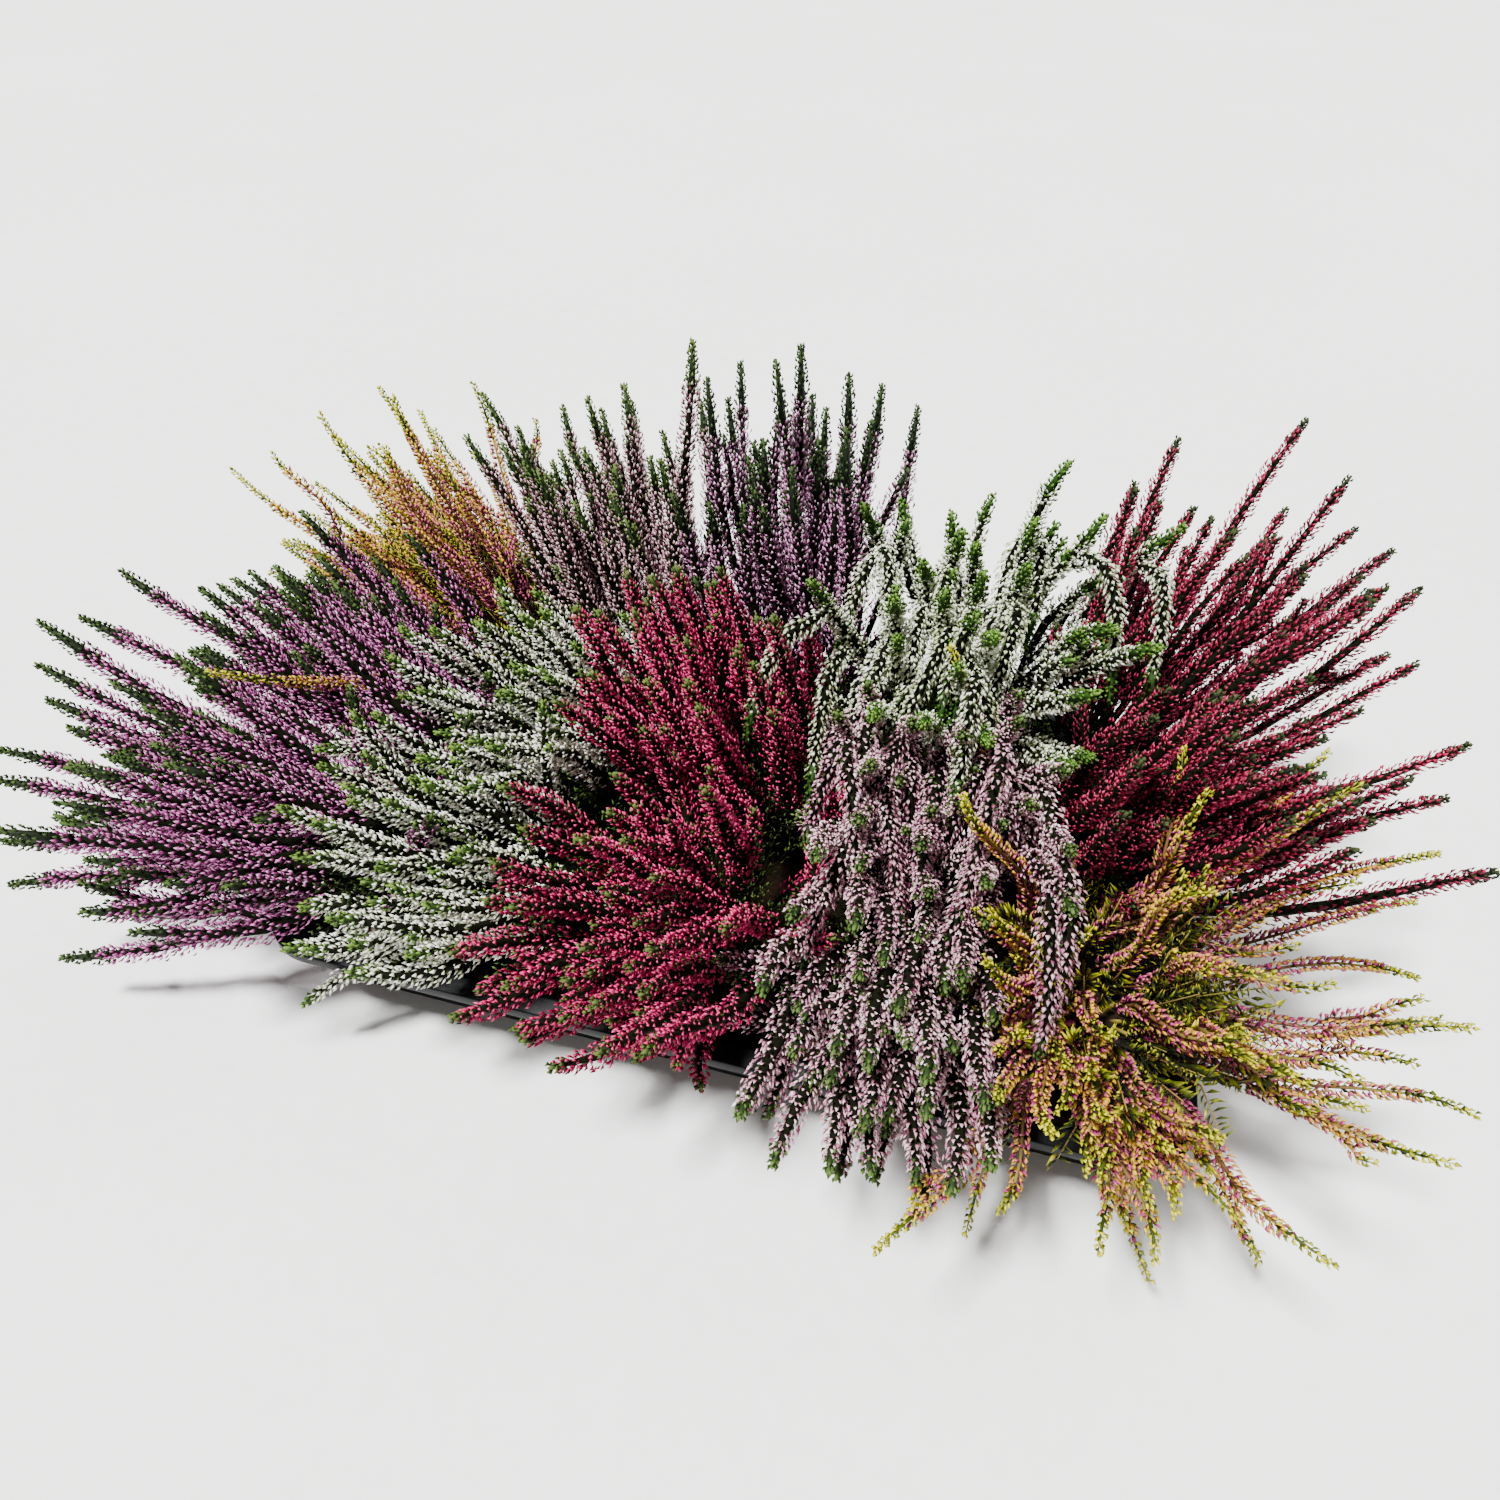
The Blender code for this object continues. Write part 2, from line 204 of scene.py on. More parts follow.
class GrownColor:
    """The shared node group that colours petals, leaves and twigs from their shade map."""

    name = "grown_color"
    shade_names = ("Dark", "Middle", "Light", "Pale")
    shade_steps = ((0.0, 0.36), (0.36, 0.70), (0.70, 1.0))
    # Foot blends in the dark foot, partly painted shade; Tip blends in the pale tip, partly a painted
    # highlight.
    end_steps = {"Foot": (0.55, 0.0), "Tip": (0.60, 1.0)}
    numbers = ("Foot Share", "Tip Share", "Smooth", "Rough")

    @classmethod
    def group(cls) -> bpy.types.NodeTree:
        """Return the group, made at its first use.

        The shade map's first number blends the four shades one after another, and its second
        blends in the foot's colour below and the tip's colour above. The dark foot is partly
        painted shade and the pale tip partly a painted highlight.

        Returns:
            A node group with the outputs Color and Roughness.
        """
        if cls.name in bpy.data.node_groups:
            return bpy.data.node_groups[cls.name]
        tree = bpy.data.node_groups.new(cls.name, "ShaderNodeTree")
        for name in (*cls.shade_names, *cls.end_steps):
            tree.interface.new_socket(name, in_out="INPUT", socket_type="NodeSocketColor")
        for name in cls.numbers:
            tree.interface.new_socket(name, in_out="INPUT", socket_type="NodeSocketFloat")
        tree.interface.new_socket("Color", in_out="OUTPUT", socket_type="NodeSocketColor")
        tree.interface.new_socket("Roughness", in_out="OUTPUT", socket_type="NodeSocketFloat")
        wiring = Wiring(tree)
        given = tree.nodes.new("NodeGroupInput").outputs
        shade_map = wiring.add("UVMap", {}, uv_map=SHADE_MAP)
        split = wiring.add("SeparateXYZ", {0: shade_map.outputs["UV"]}).outputs
        color = given[cls.shade_names[0]]
        for name, steps in zip(cls.shade_names[1:], cls.shade_steps):
            color = wiring.blended(wiring.stepped(split["X"], *steps), color, given[name])
        for name, steps in cls.end_steps.items():
            factors = {0: wiring.stepped(split["Y"], *steps), 1: given[name + " Share"]}
            share = wiring.add("Math", factors, operation="MULTIPLY").outputs[0]
            color = wiring.blended(share, color, given[name])
        ends = {"Value": split["X"], "To Min": given["Rough"], "To Max": given["Smooth"]}
        rough = wiring.add("MapRange", ends).outputs["Result"]
        wiring.feed(tree.nodes.new("NodeGroupOutput"), {"Color": color, "Roughness": rough})
        return tree


@dataclass(frozen=True)
class Finish:
    """The finish of a piece.

    Attributes:
        name: the material's name.
    """

    name: str

    def material(self) -> bpy.types.Material:
        """Return the material, made at its first use.

        Returns:
            The material.
        """
        made = bpy.data.materials.get(self.name)
        if made is None:
            made = bpy.data.materials.new(self.name)
            made.use_nodes = True
            self.dress(Wiring(made.node_tree), made.node_tree.nodes["Principled BSDF"])
        return made

    def dress(self, wiring: Wiring, shader: bpy.types.Node) -> None:
        """Feed the shader. Each kind of finish does so in its own way."""
        raise NotImplementedError


@dataclass(frozen=True)
class GrownFinish(Finish):
    """The finish of petals, leaves or twigs.

    Attributes:
        ramp: its colours.
        smooth: roughness of the palest shapes.
        rough: roughness of the darkest shapes.
        shine: how strongly it mirrors the light.
    """

    ramp: Ramp
    smooth: float = 0.42
    rough: float = 0.62
    shine: float = 0.30

    def dress(self, wiring: Wiring, shader: bpy.types.Node) -> None:
        """Feed the shader from the shared group.

        Args:
            wiring: the material's node tree.
            shader: the shader that is fed.
        """
        # The ramp's dark foot carries painted shade and its pale tip a painted highlight.
        codes = (*self.ramp.shades, self.ramp.foot, self.ramp.tip)
        colors = dict(zip((*GrownColor.shade_names, *GrownColor.end_steps), map(srgb, codes)))
        values = (self.ramp.foot_shade_share, self.ramp.tip_highlight_share, self.smooth, self.rough)
        inputs = colors | dict(zip(GrownColor.numbers, values))
        grown = wiring.add("Group", inputs, node_tree=GrownColor.group()).outputs
        wiring.feed(shader, {"Base Color": grown["Color"], "Roughness": grown["Roughness"]})
        shader.inputs["Specular IOR Level"].default_value = self.shine


@dataclass(frozen=True)
class GrainFinish(Finish):
    """A solid material whose colour and relief follow a fine grain in the piece's own space.

    Attributes:
        dark: colour in the grain's hollows.
        light: colour on its crests.
        scale: how many grains there are in a metre.
        roughness: lowest and highest roughness.
        relief: the depth of the grain in metres.
        patch_scale: how many larger patches there are in a metre.
        shine: how strongly it mirrors, where 0.5 is usual for plastic.
        detail: how many finer layers the grain and the patches have.
        contrast: values of the grain that show the dark and the light colour.
    """

    dark: str
    light: str
    scale: float
    roughness: Range
    relief: float
    patch_scale: float = 9.0
    shine: float = 0.5
    detail: Range = (4.0, 2.0)
    contrast: Range = (0.35, 0.65)

    def dress(self, wiring: Wiring, shader: bpy.types.Node) -> None:
        """Feed the shader: the colour follows the mean of grain and patches, the relief the grain.

        Args:
            wiring: the material's node tree.
            shader: the shader that is fed.
        """
        place = wiring.add("TexCoord", {}).outputs["Object"]
        grain, patch = (
            wiring.add("TexNoise", {"Vector": place, "Scale": scale, "Detail": detail}).outputs["Fac"]
            for scale, detail in zip((self.scale, self.patch_scale), self.detail)
        )
        half = wiring.add("Math", {0: patch, 1: 0.5}, operation="MULTIPLY").outputs[0]
        share = wiring.add("Math", {0: grain, 1: 0.5, 2: half}, operation="MULTIPLY_ADD").outputs[0]
        ramp = wiring.add("ValToRGB", {"Fac": share})
        for element, value, code in zip(
            ramp.color_ramp.elements, self.contrast, (self.dark, self.light)
        ):
            element.position = value
            element.color = srgb(code)
        ends = {"To Min": self.roughness[0], "To Max": self.roughness[1]}
        rough = wiring.add("MapRange", {"Value": patch} | ends)
        bump = wiring.add("Bump", {"Distance": self.relief, "Height": grain})
        wiring.feed(
            shader,
            {
                "Base Color": ramp.outputs["Color"],
                "Roughness": rough.outputs["Result"],
                "Normal": bump.outputs["Normal"],
            },
        )
        shader.inputs["Specular IOR Level"].default_value = self.shine


@dataclass
class Surface:
    """Points, triangles and shade map of a mesh in the making.

    Attributes:
        points: one row for each vertex.
        faces: three vertex numbers for each triangle, counter-clockwise from outside.
        shades: the shade map, two numbers for each vertex.
    """

    points: Array
    faces: Array
    shades: Array

    @classmethod
    def joined(cls, surfaces: list[Surface]) -> Surface:
        """Return the surfaces as one, with the vertex numbers moved on.

        Args:
            surfaces: the surfaces in their order.

        Returns:
            One surface.
        """
        counts = np.cumsum([0] + [len(s.points) for s in surfaces[:-1]])
        return cls(
            np.concatenate([s.points for s in surfaces]),
            np.concatenate([s.faces + first for s, first in zip(surfaces, counts)]),
            np.concatenate([s.shades for s in surfaces]),
        )

    @classmethod
    def copied(cls, points: Array, faces: Array, shades: Array) -> Surface:
        """Return many shapes that have the same triangles as one surface.

        Args:
            points: points by shape, vertex and axis.
            faces: the triangles of one shape.
            shades: the shade map by shape, vertex and number.

        Returns:
            One surface.
        """
        first = np.arange(len(points))[:, None, None] * points.shape[1]
        shades = np.clip(shades, 0, 1).reshape(-1, 2)
        return cls(points.reshape(-1, 3), (faces + first).reshape(-1, 3), shades)

    @staticmethod
    def skin(rings: int, sides: int) -> Array:
        """Return the triangles over a stack of rings that is closed by a point at each end.

        Ring after ring is joined by two triangles to a side, and each end is a fan. The points
        are numbered ring by ring, and the two end points come last.

        Args:
            rings: number of rings.
            sides: corners of each ring.

        Returns:
            Three vertex numbers for each triangle.
        """
        place = np.arange(sides)
        ahead = (place + 1) % sides
        low = np.arange(rings - 1)[:, None] * sides
        a, b, c, d = low + place, low + ahead, low + ahead + sides, low + place + sides
        last = (rings - 1) * sides
        foot, head = np.full(sides, rings * sides), np.full(sides, rings * sides + 1)
        corners = ((a, b, c), (a, c, d), (foot, ahead, place), (head, last + place, last + ahead))
        return np.concatenate([np.stack(three, -1).reshape(-1, 3) for three in corners])

    @classmethod
    def grid(cls, rows: Array, shades: Array) -> Surface:
        """Return the skin over rings of points, and over many such sets at once.

        The point that closes an end is the mean of the ring there.

        Args:
            rows: points by set, ring, place round the ring and axis.
            shades: the shade map by set, ring, place and number.

        Returns:
            One surface.
        """
        sets, rings, sides, _ = rows.shape
        points, spots = (
            np.concatenate(
                [part.reshape(sets, rings * sides, part.shape[3]), part[:, [0, -1]].mean(axis=2)], axis=1
            )
            for part in (rows, shades)
        )
        return cls.copied(points, cls.skin(rings, sides), spots)

    def piece(
        self, name: str, material: bpy.types.Material, slot: str | None, *nodes: str
    ) -> bpy.types.Object:
        """Write the surface to a new object that rides on the part.

        Args:
            name: the object's name.
            material: its material.
            slot: not used.
            nodes: the frame's nodes that it stands for.

        Returns:
            The new object.
        """
        mesh = bpy.data.meshes.new(name)
        mesh.vertices.add(len(self.points))
        mesh.vertices.foreach_set("co", self.points.astype(np.float32).ravel())
        mesh.loops.add(self.faces.size)
        mesh.loops.foreach_set("vertex_index", self.faces.astype(np.int32).ravel())
        mesh.polygons.add(len(self.faces))
        mesh.polygons.foreach_set("loop_start", np.arange(0, self.faces.size, 3, dtype=np.int32))
        mesh.update(calc_edges=True)
        mesh.shade_smooth()
        layer = mesh.uv_layers.new(name=SHADE_MAP)
        layer.uv.foreach_set("vector", self.shades[self.faces.ravel()].astype(np.float32).ravel())
        mesh.materials.append(material)
        obj = bpy.data.objects.new(name, mesh)
        bpy.context.scene.collection.objects.link(obj)
        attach(obj, "root")
        if nodes:
            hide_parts(*nodes)
        log.info("%s: %d triangles", name, len(self.faces))
        return obj


@dataclass
class Spots:
    """Where copies of a small shape go, with a row of each array for a copy.

    Attributes:
        foot: where it is attached.
        aim: unit vector from its foot to its tip.
        across: unit vector along its width.
        length: its length.
        width: its whole width.
        shade: its shade from 0, dark, to 1, pale.
    """

    foot: Array
    aim: Array
    across: Array
    length: Array
    width: Array
    shade: Array

    @property
    def tip(self) -> Array:
        """Where each copy ends: its foot plus its length along the aim."""
        return self.foot + self.aim * self.length[:, None]


@dataclass(frozen=True)
class Crumb:
    """A lump of compost: rings of corners between its foot and its tip.

    Attributes:
        profile: place along the lump and half width there, both as shares, for each ring.
        sides: corners of each ring.
        flatness: its thickness as a share of its width.
        shade_width: how far apart its corners lie in the shade map.
    """

    profile: tuple[Range, ...] = ((0.25, 0.9), (0.75, 0.8))
    sides: int = 4
    flatness: float = 0.8
    shade_width: float = 0.012

    def stamped(self, spots: Spots) -> Surface:
        """Return a copy of the shape for each spot.

        A point of a copy is its foot, plus the aim times its place along the shape, plus a ring
        in the plane of across and of the aim crossed with it.

        Args:
            spots: where the copies go.

        Returns:
            One surface.
        """
        copies, rings = len(spots.foot), len(self.profile)
        place, half = np.array(self.profile).T
        turn = circle(self.sides)
        thick = np.cross(spots.aim, spots.across)[:, None]
        level, upright = np.cos(turn)[:, None], self.flatness * np.sin(turn)[:, None]
        ring = level * spots.across[:, None] + upright * thick
        spine = spots.foot[:, None] + spots.aim[:, None] * (spots.length[:, None] * place)[:, :, None]
        size = half[:, None, None] * spots.width[:, None, None, None] / 2
        points = (spine[:, :, None] + ring[:, None] * size).reshape(copies, -1, 3)
        points = np.concatenate([points, np.stack([spots.foot, spots.tip], axis=1)], axis=1)
        offset = self.shade_width * (np.arange(self.sides) / (self.sides - 1) - 0.5) * 2
        shades = np.empty((*points.shape[:2], 2))
        shades[..., 0] = spots.shade[:, None] + np.append(np.tile(offset, rings), (0, 0))
        shades[..., 1] = np.append(np.repeat(place, self.sides), FOOT_AND_TIP)
        return Surface.copied(points, Surface.skin(rings, self.sides), shades)


@dataclass(frozen=True)
class Kite:
    """A keeled shape of four faces, such as a bud, a scale or a needle.

    It has a foot, a tip and two edges, and the edges rise from the keel between foot and tip.

    Attributes:
        widest: place of its greatest width, as a share of its length.
        lift: how far the edges rise from the keel, as a share of the width.
        shade_width: how far apart its corners lie in the shade map.
    """

    widest: float = 0.42
    lift: float = 0.30
    shade_width: float = 0.012

    def stamped(self, spots: Spots) -> Surface:
        """Return a copy of the shape for each spot.

        The edges' points are the foot plus the aim times the widest place, plus and minus half
        the width across, both lifted at right angles to the aim.

        Args:
            spots: where the copies go.

        Returns:
            One surface.
        """
        lifted = np.cross(spots.aim, spots.across) * (spots.width * self.lift)[:, None]
        waist = spots.foot + spots.aim * (spots.length * self.widest)[:, None] + lifted
        edge = spots.across * (spots.width / 2)[:, None]
        points = np.stack([spots.foot, spots.tip, waist + edge, waist - edge], axis=1)
        shades = np.empty((len(points), 4, 2))
        shades[..., 0] = spots.shade[:, None] + np.array((0.0, 0.0, 1.0, -1.0)) * self.shade_width
        shades[..., 1] = (*FOOT_AND_TIP, self.widest, self.widest)
        return Surface.copied(points, np.array(((0, 2, 3), (1, 3, 2), (0, 1, 2), (0, 3, 1))), shades)


class Habit(Enum):
    """How a heather carries its buds."""

    SPIKE = "buds all round the shoot"
    BRAID = "pairs of bracts close to the shoot"


@dataclass(frozen=True)
class Whorls:
    """Small shapes set round a stretch of each shoot.

    Attributes:
        shape: the kite that is stamped.
        spacing: distance along the shoot from one shape to the next.
        stretch: shares of the shoot where they begin and end.
        size: length and width of a shape.
        angle: degrees between a shape and the shoot.
        reach: how far its tip stands out, as a share of the shoot's outline.
        turn: radians round the shoot from one shape to the next.
        spread: degrees by which the angle varies.
        crowding: below 1, the shapes crowd towards the shoot's tip.
        layers: least reach of a shape against the plain one.
        around: how many shapes stand at one height.
        fade: how much paler the shapes become from the first to the last.
        tone: how much paler all of them are than the middle of the shades.
        droop: how far they hang, as a share of their length.
        wander: where in its own stretch of the shoot a shape may stand.
        turn_spread: radians by which the turn varies.
        aim_spread: how far the aim strays, as a share of its length.
        length_spread: least and greatest length against the plain one.
        width_spread: the same for the width.
        furthest: greatest reach of a shape against the plain one.
        nearest: least distance of a foot from the shoot's middle line.
        shade_spread: how far the shade varies.
    """

    shape: Kite
    spacing: float
    stretch: Range
    size: Range
    angle: float
    reach: float
    turn: float = GOLDEN_TURN
    spread: float = 12.0
    crowding: float = 0.78
    layers: float = 0.62
    around: int = 1
    fade: float = 0.0
    tone: float = 0.0
    droop: float = 0.0
    wander: Range = (0.2, 0.8)
    turn_spread: float = 0.12
    aim_spread: float = 0.06
    length_spread: Range = (0.82, 1.15)
    width_spread: Range = (0.85, 1.15)
    furthest: float = 1.08
    nearest: float = 0.0003
    shade_spread: float = 0.20


# Near-black bark for stalks, twigs and the plant's core: partly the wood's own dark colour, partly
# painted shade deep inside the plant.
BARK_AND_PAINTED_SHADE = GrownFinish(
    "heather_bark_and_painted_shade",
    Ramp(("060703", "0D0F06", "191D0C", "2C331A"), "080704", "10140A", 0.5, 0.4),
    0.75,
    0.90,
    0.05,
)
YOUNG_BARK = GrownFinish(
    "young_bark",
    Ramp(("2C1E0C", "5A3E1C", "84602C", "AE8E44"), "1A0F08", "98902C", 0.9, 0.5),
    0.6,
    0.75,
)


@dataclass
class Shoots:
    """Shoots as quadratic curves, held as whole arrays.

    Attributes:
        outline_at: shares of a shoot's length at which its outline is given.
        outline_radius: how far a full shoot's buds reach from its middle line there.
        wave_rise: how soon along a shoot its wave is full.
        wave_turns: how fast the wave swings in each of two directions.
        wave_phase: how far it is ahead of the wave of the shoot before.
        cross_phase: the same in the second direction, against the first.
        body_shade: shade of a shoot's body.
        body_sides: how much darker and paler its sides are.
        body_ends: the second number of its shade map at its ends.
        curves: start, bend and tip of each shoot, by control point, shoot and axis.
        girth: thickness of each shoot against a full one.
        tone: how much paler or darker each shoot is, as a share of the shades.
        wave: how far the shoots wave from side to side.
    """

    outline_at: ClassVar[tuple[float, ...]] = (0.0, 0.10, 0.30, 0.48, 0.66, 0.84, 0.93, 1.0)
    outline_radius: ClassVar[tuple[float, ...]] = (
        *(0.0030, 0.0066, 0.0092, 0.0094),
        *(0.0084, 0.0064, 0.0046, 0.0014),
    )
    wave_rise: ClassVar[float] = 2.5
    wave_turns: ClassVar[Range] = (6.5, 5.2)
    wave_phase: ClassVar[float] = 2.4
    cross_phase: ClassVar[float] = 1.7
    body_shade: ClassVar[float] = 0.3
    body_sides: ClassVar[Range] = (-0.02, 0.02)
    body_ends: ClassVar[Range] = (0.05, 0.95)

    curves: Array
    girth: Array
    tone: Array
    wave: float = 0.0022

    @property
    def lengths(self) -> Array:
        """Length of each shoot, as the mean of its chord and of its two legs."""
        start, bend, tip = self.curves
        legs = np.linalg.norm(bend - start, axis=1) + np.linalg.norm(tip - bend, axis=1)
        return (legs + np.linalg.norm(tip - start, axis=1)) / 2

    def frames(self, owner: Array, t: Array) -> tuple[Array, Array, Array, Array]:
        """Return points on the shoots and the directions there.

        A point is the curve's blend of start, bend and tip, plus a sine of t with its own
        phase for each shoot, fading out to the start, in each of the two directions square to
        the shoot. The side is square to the axis that the shoot's chord leans on least.

        Args:
            owner: number of the shoot for each point.
            t: place along the shoot, from 0 to 1.

        Returns:
            The point, the direction along the shoot, and two directions square to it.
        """
        start, bend, tip = (point[owner] for point in self.curves)
        u = t[:, None]
        along = unit((bend - start) * (1 - u) + (tip - bend) * u)
        chord = np.abs(self.curves[2] - self.curves[0])
        axis = np.eye(3)[chord.argmin(axis=1)][owner]
        side = unit(np.cross(along, axis))
        over = np.cross(along, side)
        swing = self.wave * np.minimum(1.0, self.wave_rise * u)
        phase = owner[:, None] * self.wave_phase
        point = quadratic(start, bend, tip, u)
        point += side * swing * np.sin(self.wave_turns[0] * u + phase)
        point += over * swing * np.sin(self.wave_turns[1] * u - self.cross_phase * phase)
        return point, along, side, over

    def outline(self, owner: Array, t: Array) -> Array:
        """Return how far the shoot's buds reach from its middle line at t."""
        return self.girth[owner] * np.interp(t, self.outline_at, self.outline_radius)

    def dressed(self, whorls: Whorls, rng: np.random.Generator) -> Surface:
        """Return small shapes stamped along every shoot.

        The shapes of a shoot are spread evenly over the stretch, each turned on from the one
        below, and lean outwards from the shoot by the angle.

        Args:
            whorls: what is stamped, and where.
            rng: source of the small differences.

        Returns:
            One surface.
        """
        first, last = whorls.stretch
        counts = self.lengths * (last - first) * self.girth / whorls.spacing / whorls.around
        counts = np.maximum(counts.astype(int), 1) * whorls.around
        owner = np.repeat(np.arange(len(counts)), counts)
        order = np.arange(len(owner)) - np.repeat(np.cumsum(counts) - counts, counts)
        level, place = order - order % whorls.around, order % whorls.around
        wander = rng.uniform(*whorls.wander, len(owner)) * whorls.around**0.5
        share = np.clip((level + wander) / counts[owner], 0, 1) ** whorls.crowding
        t = first + (last - first) * share
        point, along, side, over = self.frames(owner, t)
        turn = level / whorls.around * whorls.turn + place * 2 * math.pi / whorls.around
        turn += rng.uniform(0, 2 * math.pi, len(counts))[owner]
        turn += rng.normal(0, whorls.turn_spread, len(owner))
        outward = np.cos(turn)[:, None] * side + np.sin(turn)[:, None] * over
        angle = np.radians(whorls.angle + rng.normal(0, whorls.spread, len(owner)))[:, None]
        aim = unit(outward * np.sin(angle) + along * np.cos(angle))
        stray = rng.normal(0, whorls.aim_spread, (len(owner), 3))
        aim = unit(aim + stray - (0.0, 0.0, whorls.droop))
        length = whorls.size[0] * rng.uniform(*whorls.length_spread, len(owner))
        width = whorls.size[1] * rng.uniform(*whorls.width_spread, len(owner))
        layer = rng.uniform(whorls.layers, whorls.furthest, len(owner))
        inner = whorls.reach * layer * self.outline(owner, t) - length * np.sin(angle[:, 0])
        foot = point + outward * np.maximum(inner, whorls.nearest)[:, None]
        shade = 0.5 + whorls.tone + whorls.fade * (share - 0.5) + self.tone[owner]
        shade = np.clip(shade + rng.normal(0, whorls.shade_spread, len(owner)), *FOOT_AND_TIP)
        across = unit(np.cross(aim, along))
        return whorls.shape.stamped(Spots(foot, aim, across, length, width, shade))

    def tubes(self, radii: Range, span: Range, rings: int, sides: int = 3) -> Surface:
        """Return a tapering tube along every shoot, from the first radius to the second."""
        radius = np.tile(np.linspace(*radii, rings), len(self.girth))
        return self.skinned(span, rings, sides, lambda owner, t: radius * self.girth[owner])

    def cores(self, share: float, span: Range, rings: int, tone: float = 0.0, sides: int = 5) -> Surface:
        """Return a slim body along every shoot whose radius is a share of the outline."""
        return self.skinned(span, rings, sides, lambda owner, t: share * self.outline(owner, t), tone)

    def skinned(
        self,
        span: Range,
        rings: int,
        sides: int,
        radius: Callable[[Array, Array], Array],
        tone: float = 0.0,
    ) -> Surface:
        """Return the skin over circles set square to every shoot.

        Args:
            span: shares of the shoot between which the skin runs.
            rings: circles on each shoot.
            sides: corners of each circle.
            radius: gives the circles' radii, from the number of the shoot and the place along it.
            tone: how much paler than usual the skin is.

        Returns:
            One surface.
        """
        count = len(self.girth)
        owner = np.repeat(np.arange(count), rings)
        t = np.tile(np.linspace(*span, rings), count)
        point, _, side, over = self.frames(owner, t)
        turn = circle(sides)[:, None]
        around = np.cos(turn) * side[:, None] + np.sin(turn) * over[:, None]
        rows = point[:, None] + radius(owner, t)[:, None, None] * around
        shades = np.empty((count, rings, sides, 2))
        shades[..., 0] = np.clip(self.body_shade + tone + self.tone, *FOOT_AND_TIP)[:, None, None]
        shades[..., 0] += np.linspace(*self.body_sides, sides)
        shades[..., 1] = np.linspace(*self.body_ends, rings)[:, None]
        return Surface.grid(rows.reshape(count, rings, sides, 3), shades)

    def between(
        self,
        rng: np.random.Generator,
        count: int,
        gap: Range = (0.012, 0.040),
        size: Range = (0.62, 0.90),
        blend: Range = (0.4, 0.6),
        girth: Range = (0.72, 0.90),
        tone_spread: float = 0.08,
    ) -> Shoots:
        """Return shorter shoots that stand half way between neighbours.

        Args:
            rng: source of the choice.
            count: how many are wanted.
            gap: least and greatest distance between the neighbours' bends.
            size: least and greatest length, as a share of the neighbours' length.
            blend: least and greatest share of the second neighbour in the way.
            girth: least and greatest thickness against a full shoot.
            tone_spread: how far their tone varies.

        Returns:
            The new shoots.
        """
        first, second = np.triu_indices(len(self.girth), 1)
        apart = np.linalg.norm(self.curves[1, first] - self.curves[1, second], axis=1)
        near = np.flatnonzero((apart > gap[0]) & (apart < gap[1]))
        chosen = rng.permutation(near)[:count]
        share = rng.uniform(*blend, len(chosen))[:, None]
        first, second = self.curves[:, first[chosen]], self.curves[:, second[chosen]]
        start, bend, tip = first * (1 - share) + second * share
        kept = rng.uniform(*size, len(chosen))[:, None]
        curves = np.stack([start, start + (bend - start) * kept, start + (tip - start) * kept])
        girths = rng.uniform(*girth, len(chosen))
        return Shoots(curves, girths, rng.normal(0, tone_spread, len(chosen)), self.wave)

    def branched(
        self,
        rng: np.random.Generator,
        curves: list[Array],
        owner: Array,
        girth: Array,
        tone_spread: float = 0.05,
        wave_share: float = 0.6,
    ) -> Shoots:
        """Return side shoots of these, which share their parents' tone and wave less.

        Args:
            rng: source of the small differences in tone.
            curves: start, bend and tip of each.
            owner: number of each one's parent.
            girth: thickness of each against its parent.
            tone_spread: how far their tone varies.
            wave_share: how far they wave, as a share of their parents' wave.

        Returns:
            The side shoots.
        """
        tone = self.tone[owner] + rng.normal(0, tone_spread, len(owner))
        return Shoots(np.stack(curves), self.girth[owner] * girth, tone, self.wave * wave_share)

    def forked(
        self,
        rng: np.random.Generator,
        count: int,
        start_at: Range = (0.22, 0.64),
        fork: Range = (13.0, 26.0),
        size: Range = (0.50, 0.88),
        bend_at: float = 0.45,
        opening: float = 1.8,
        girth: tuple[Range, Range] = ((0.03, 0.08), (0.58, 0.92)),
    ) -> Shoots:
        """Return side shoots that fork off these and rise beside them.

        A side shoot starts on its parent, leaves it at nearly twice the fork angle and bends
        back to that angle, and it ends below the parent's tip.

        Args:
            rng: source of the choice.
            count: how many are wanted.
            start_at: least and greatest place on the parent where one starts.
            fork: least and greatest angle to the parent, in degrees.
            size: least and greatest length, as a share of what the parent still has ahead.
            bend_at: place of the bend on the way, as a share of the length.
            opening: angle of the way to the bend against the fork.
            girth: a short and a long length, and the thickness at each against the parent.

        Returns:
            The side shoots.
        """
        owner = rng.permutation(np.arange(count) % len(self.girth))
        t = rng.uniform(*start_at, count)
        start, along, side, over = self.frames(owner, t)
        turn = rng.uniform(0, 2 * math.pi, count)[:, None]
        outward = np.cos(turn) * side + np.sin(turn) * over
        angle = np.radians(rng.uniform(*fork, count))[:, None]
        length = (self.lengths[owner] * (1 - t) * rng.uniform(*size, count))[:, None]
        bend = start + unit(along + outward * np.tan(opening * angle)) * length * bend_at
        tip = start + unit(along + outward * np.tan(angle)) * length
        return self.branched(rng, [start, bend, tip], owner, np.interp(length[:, 0], *girth))

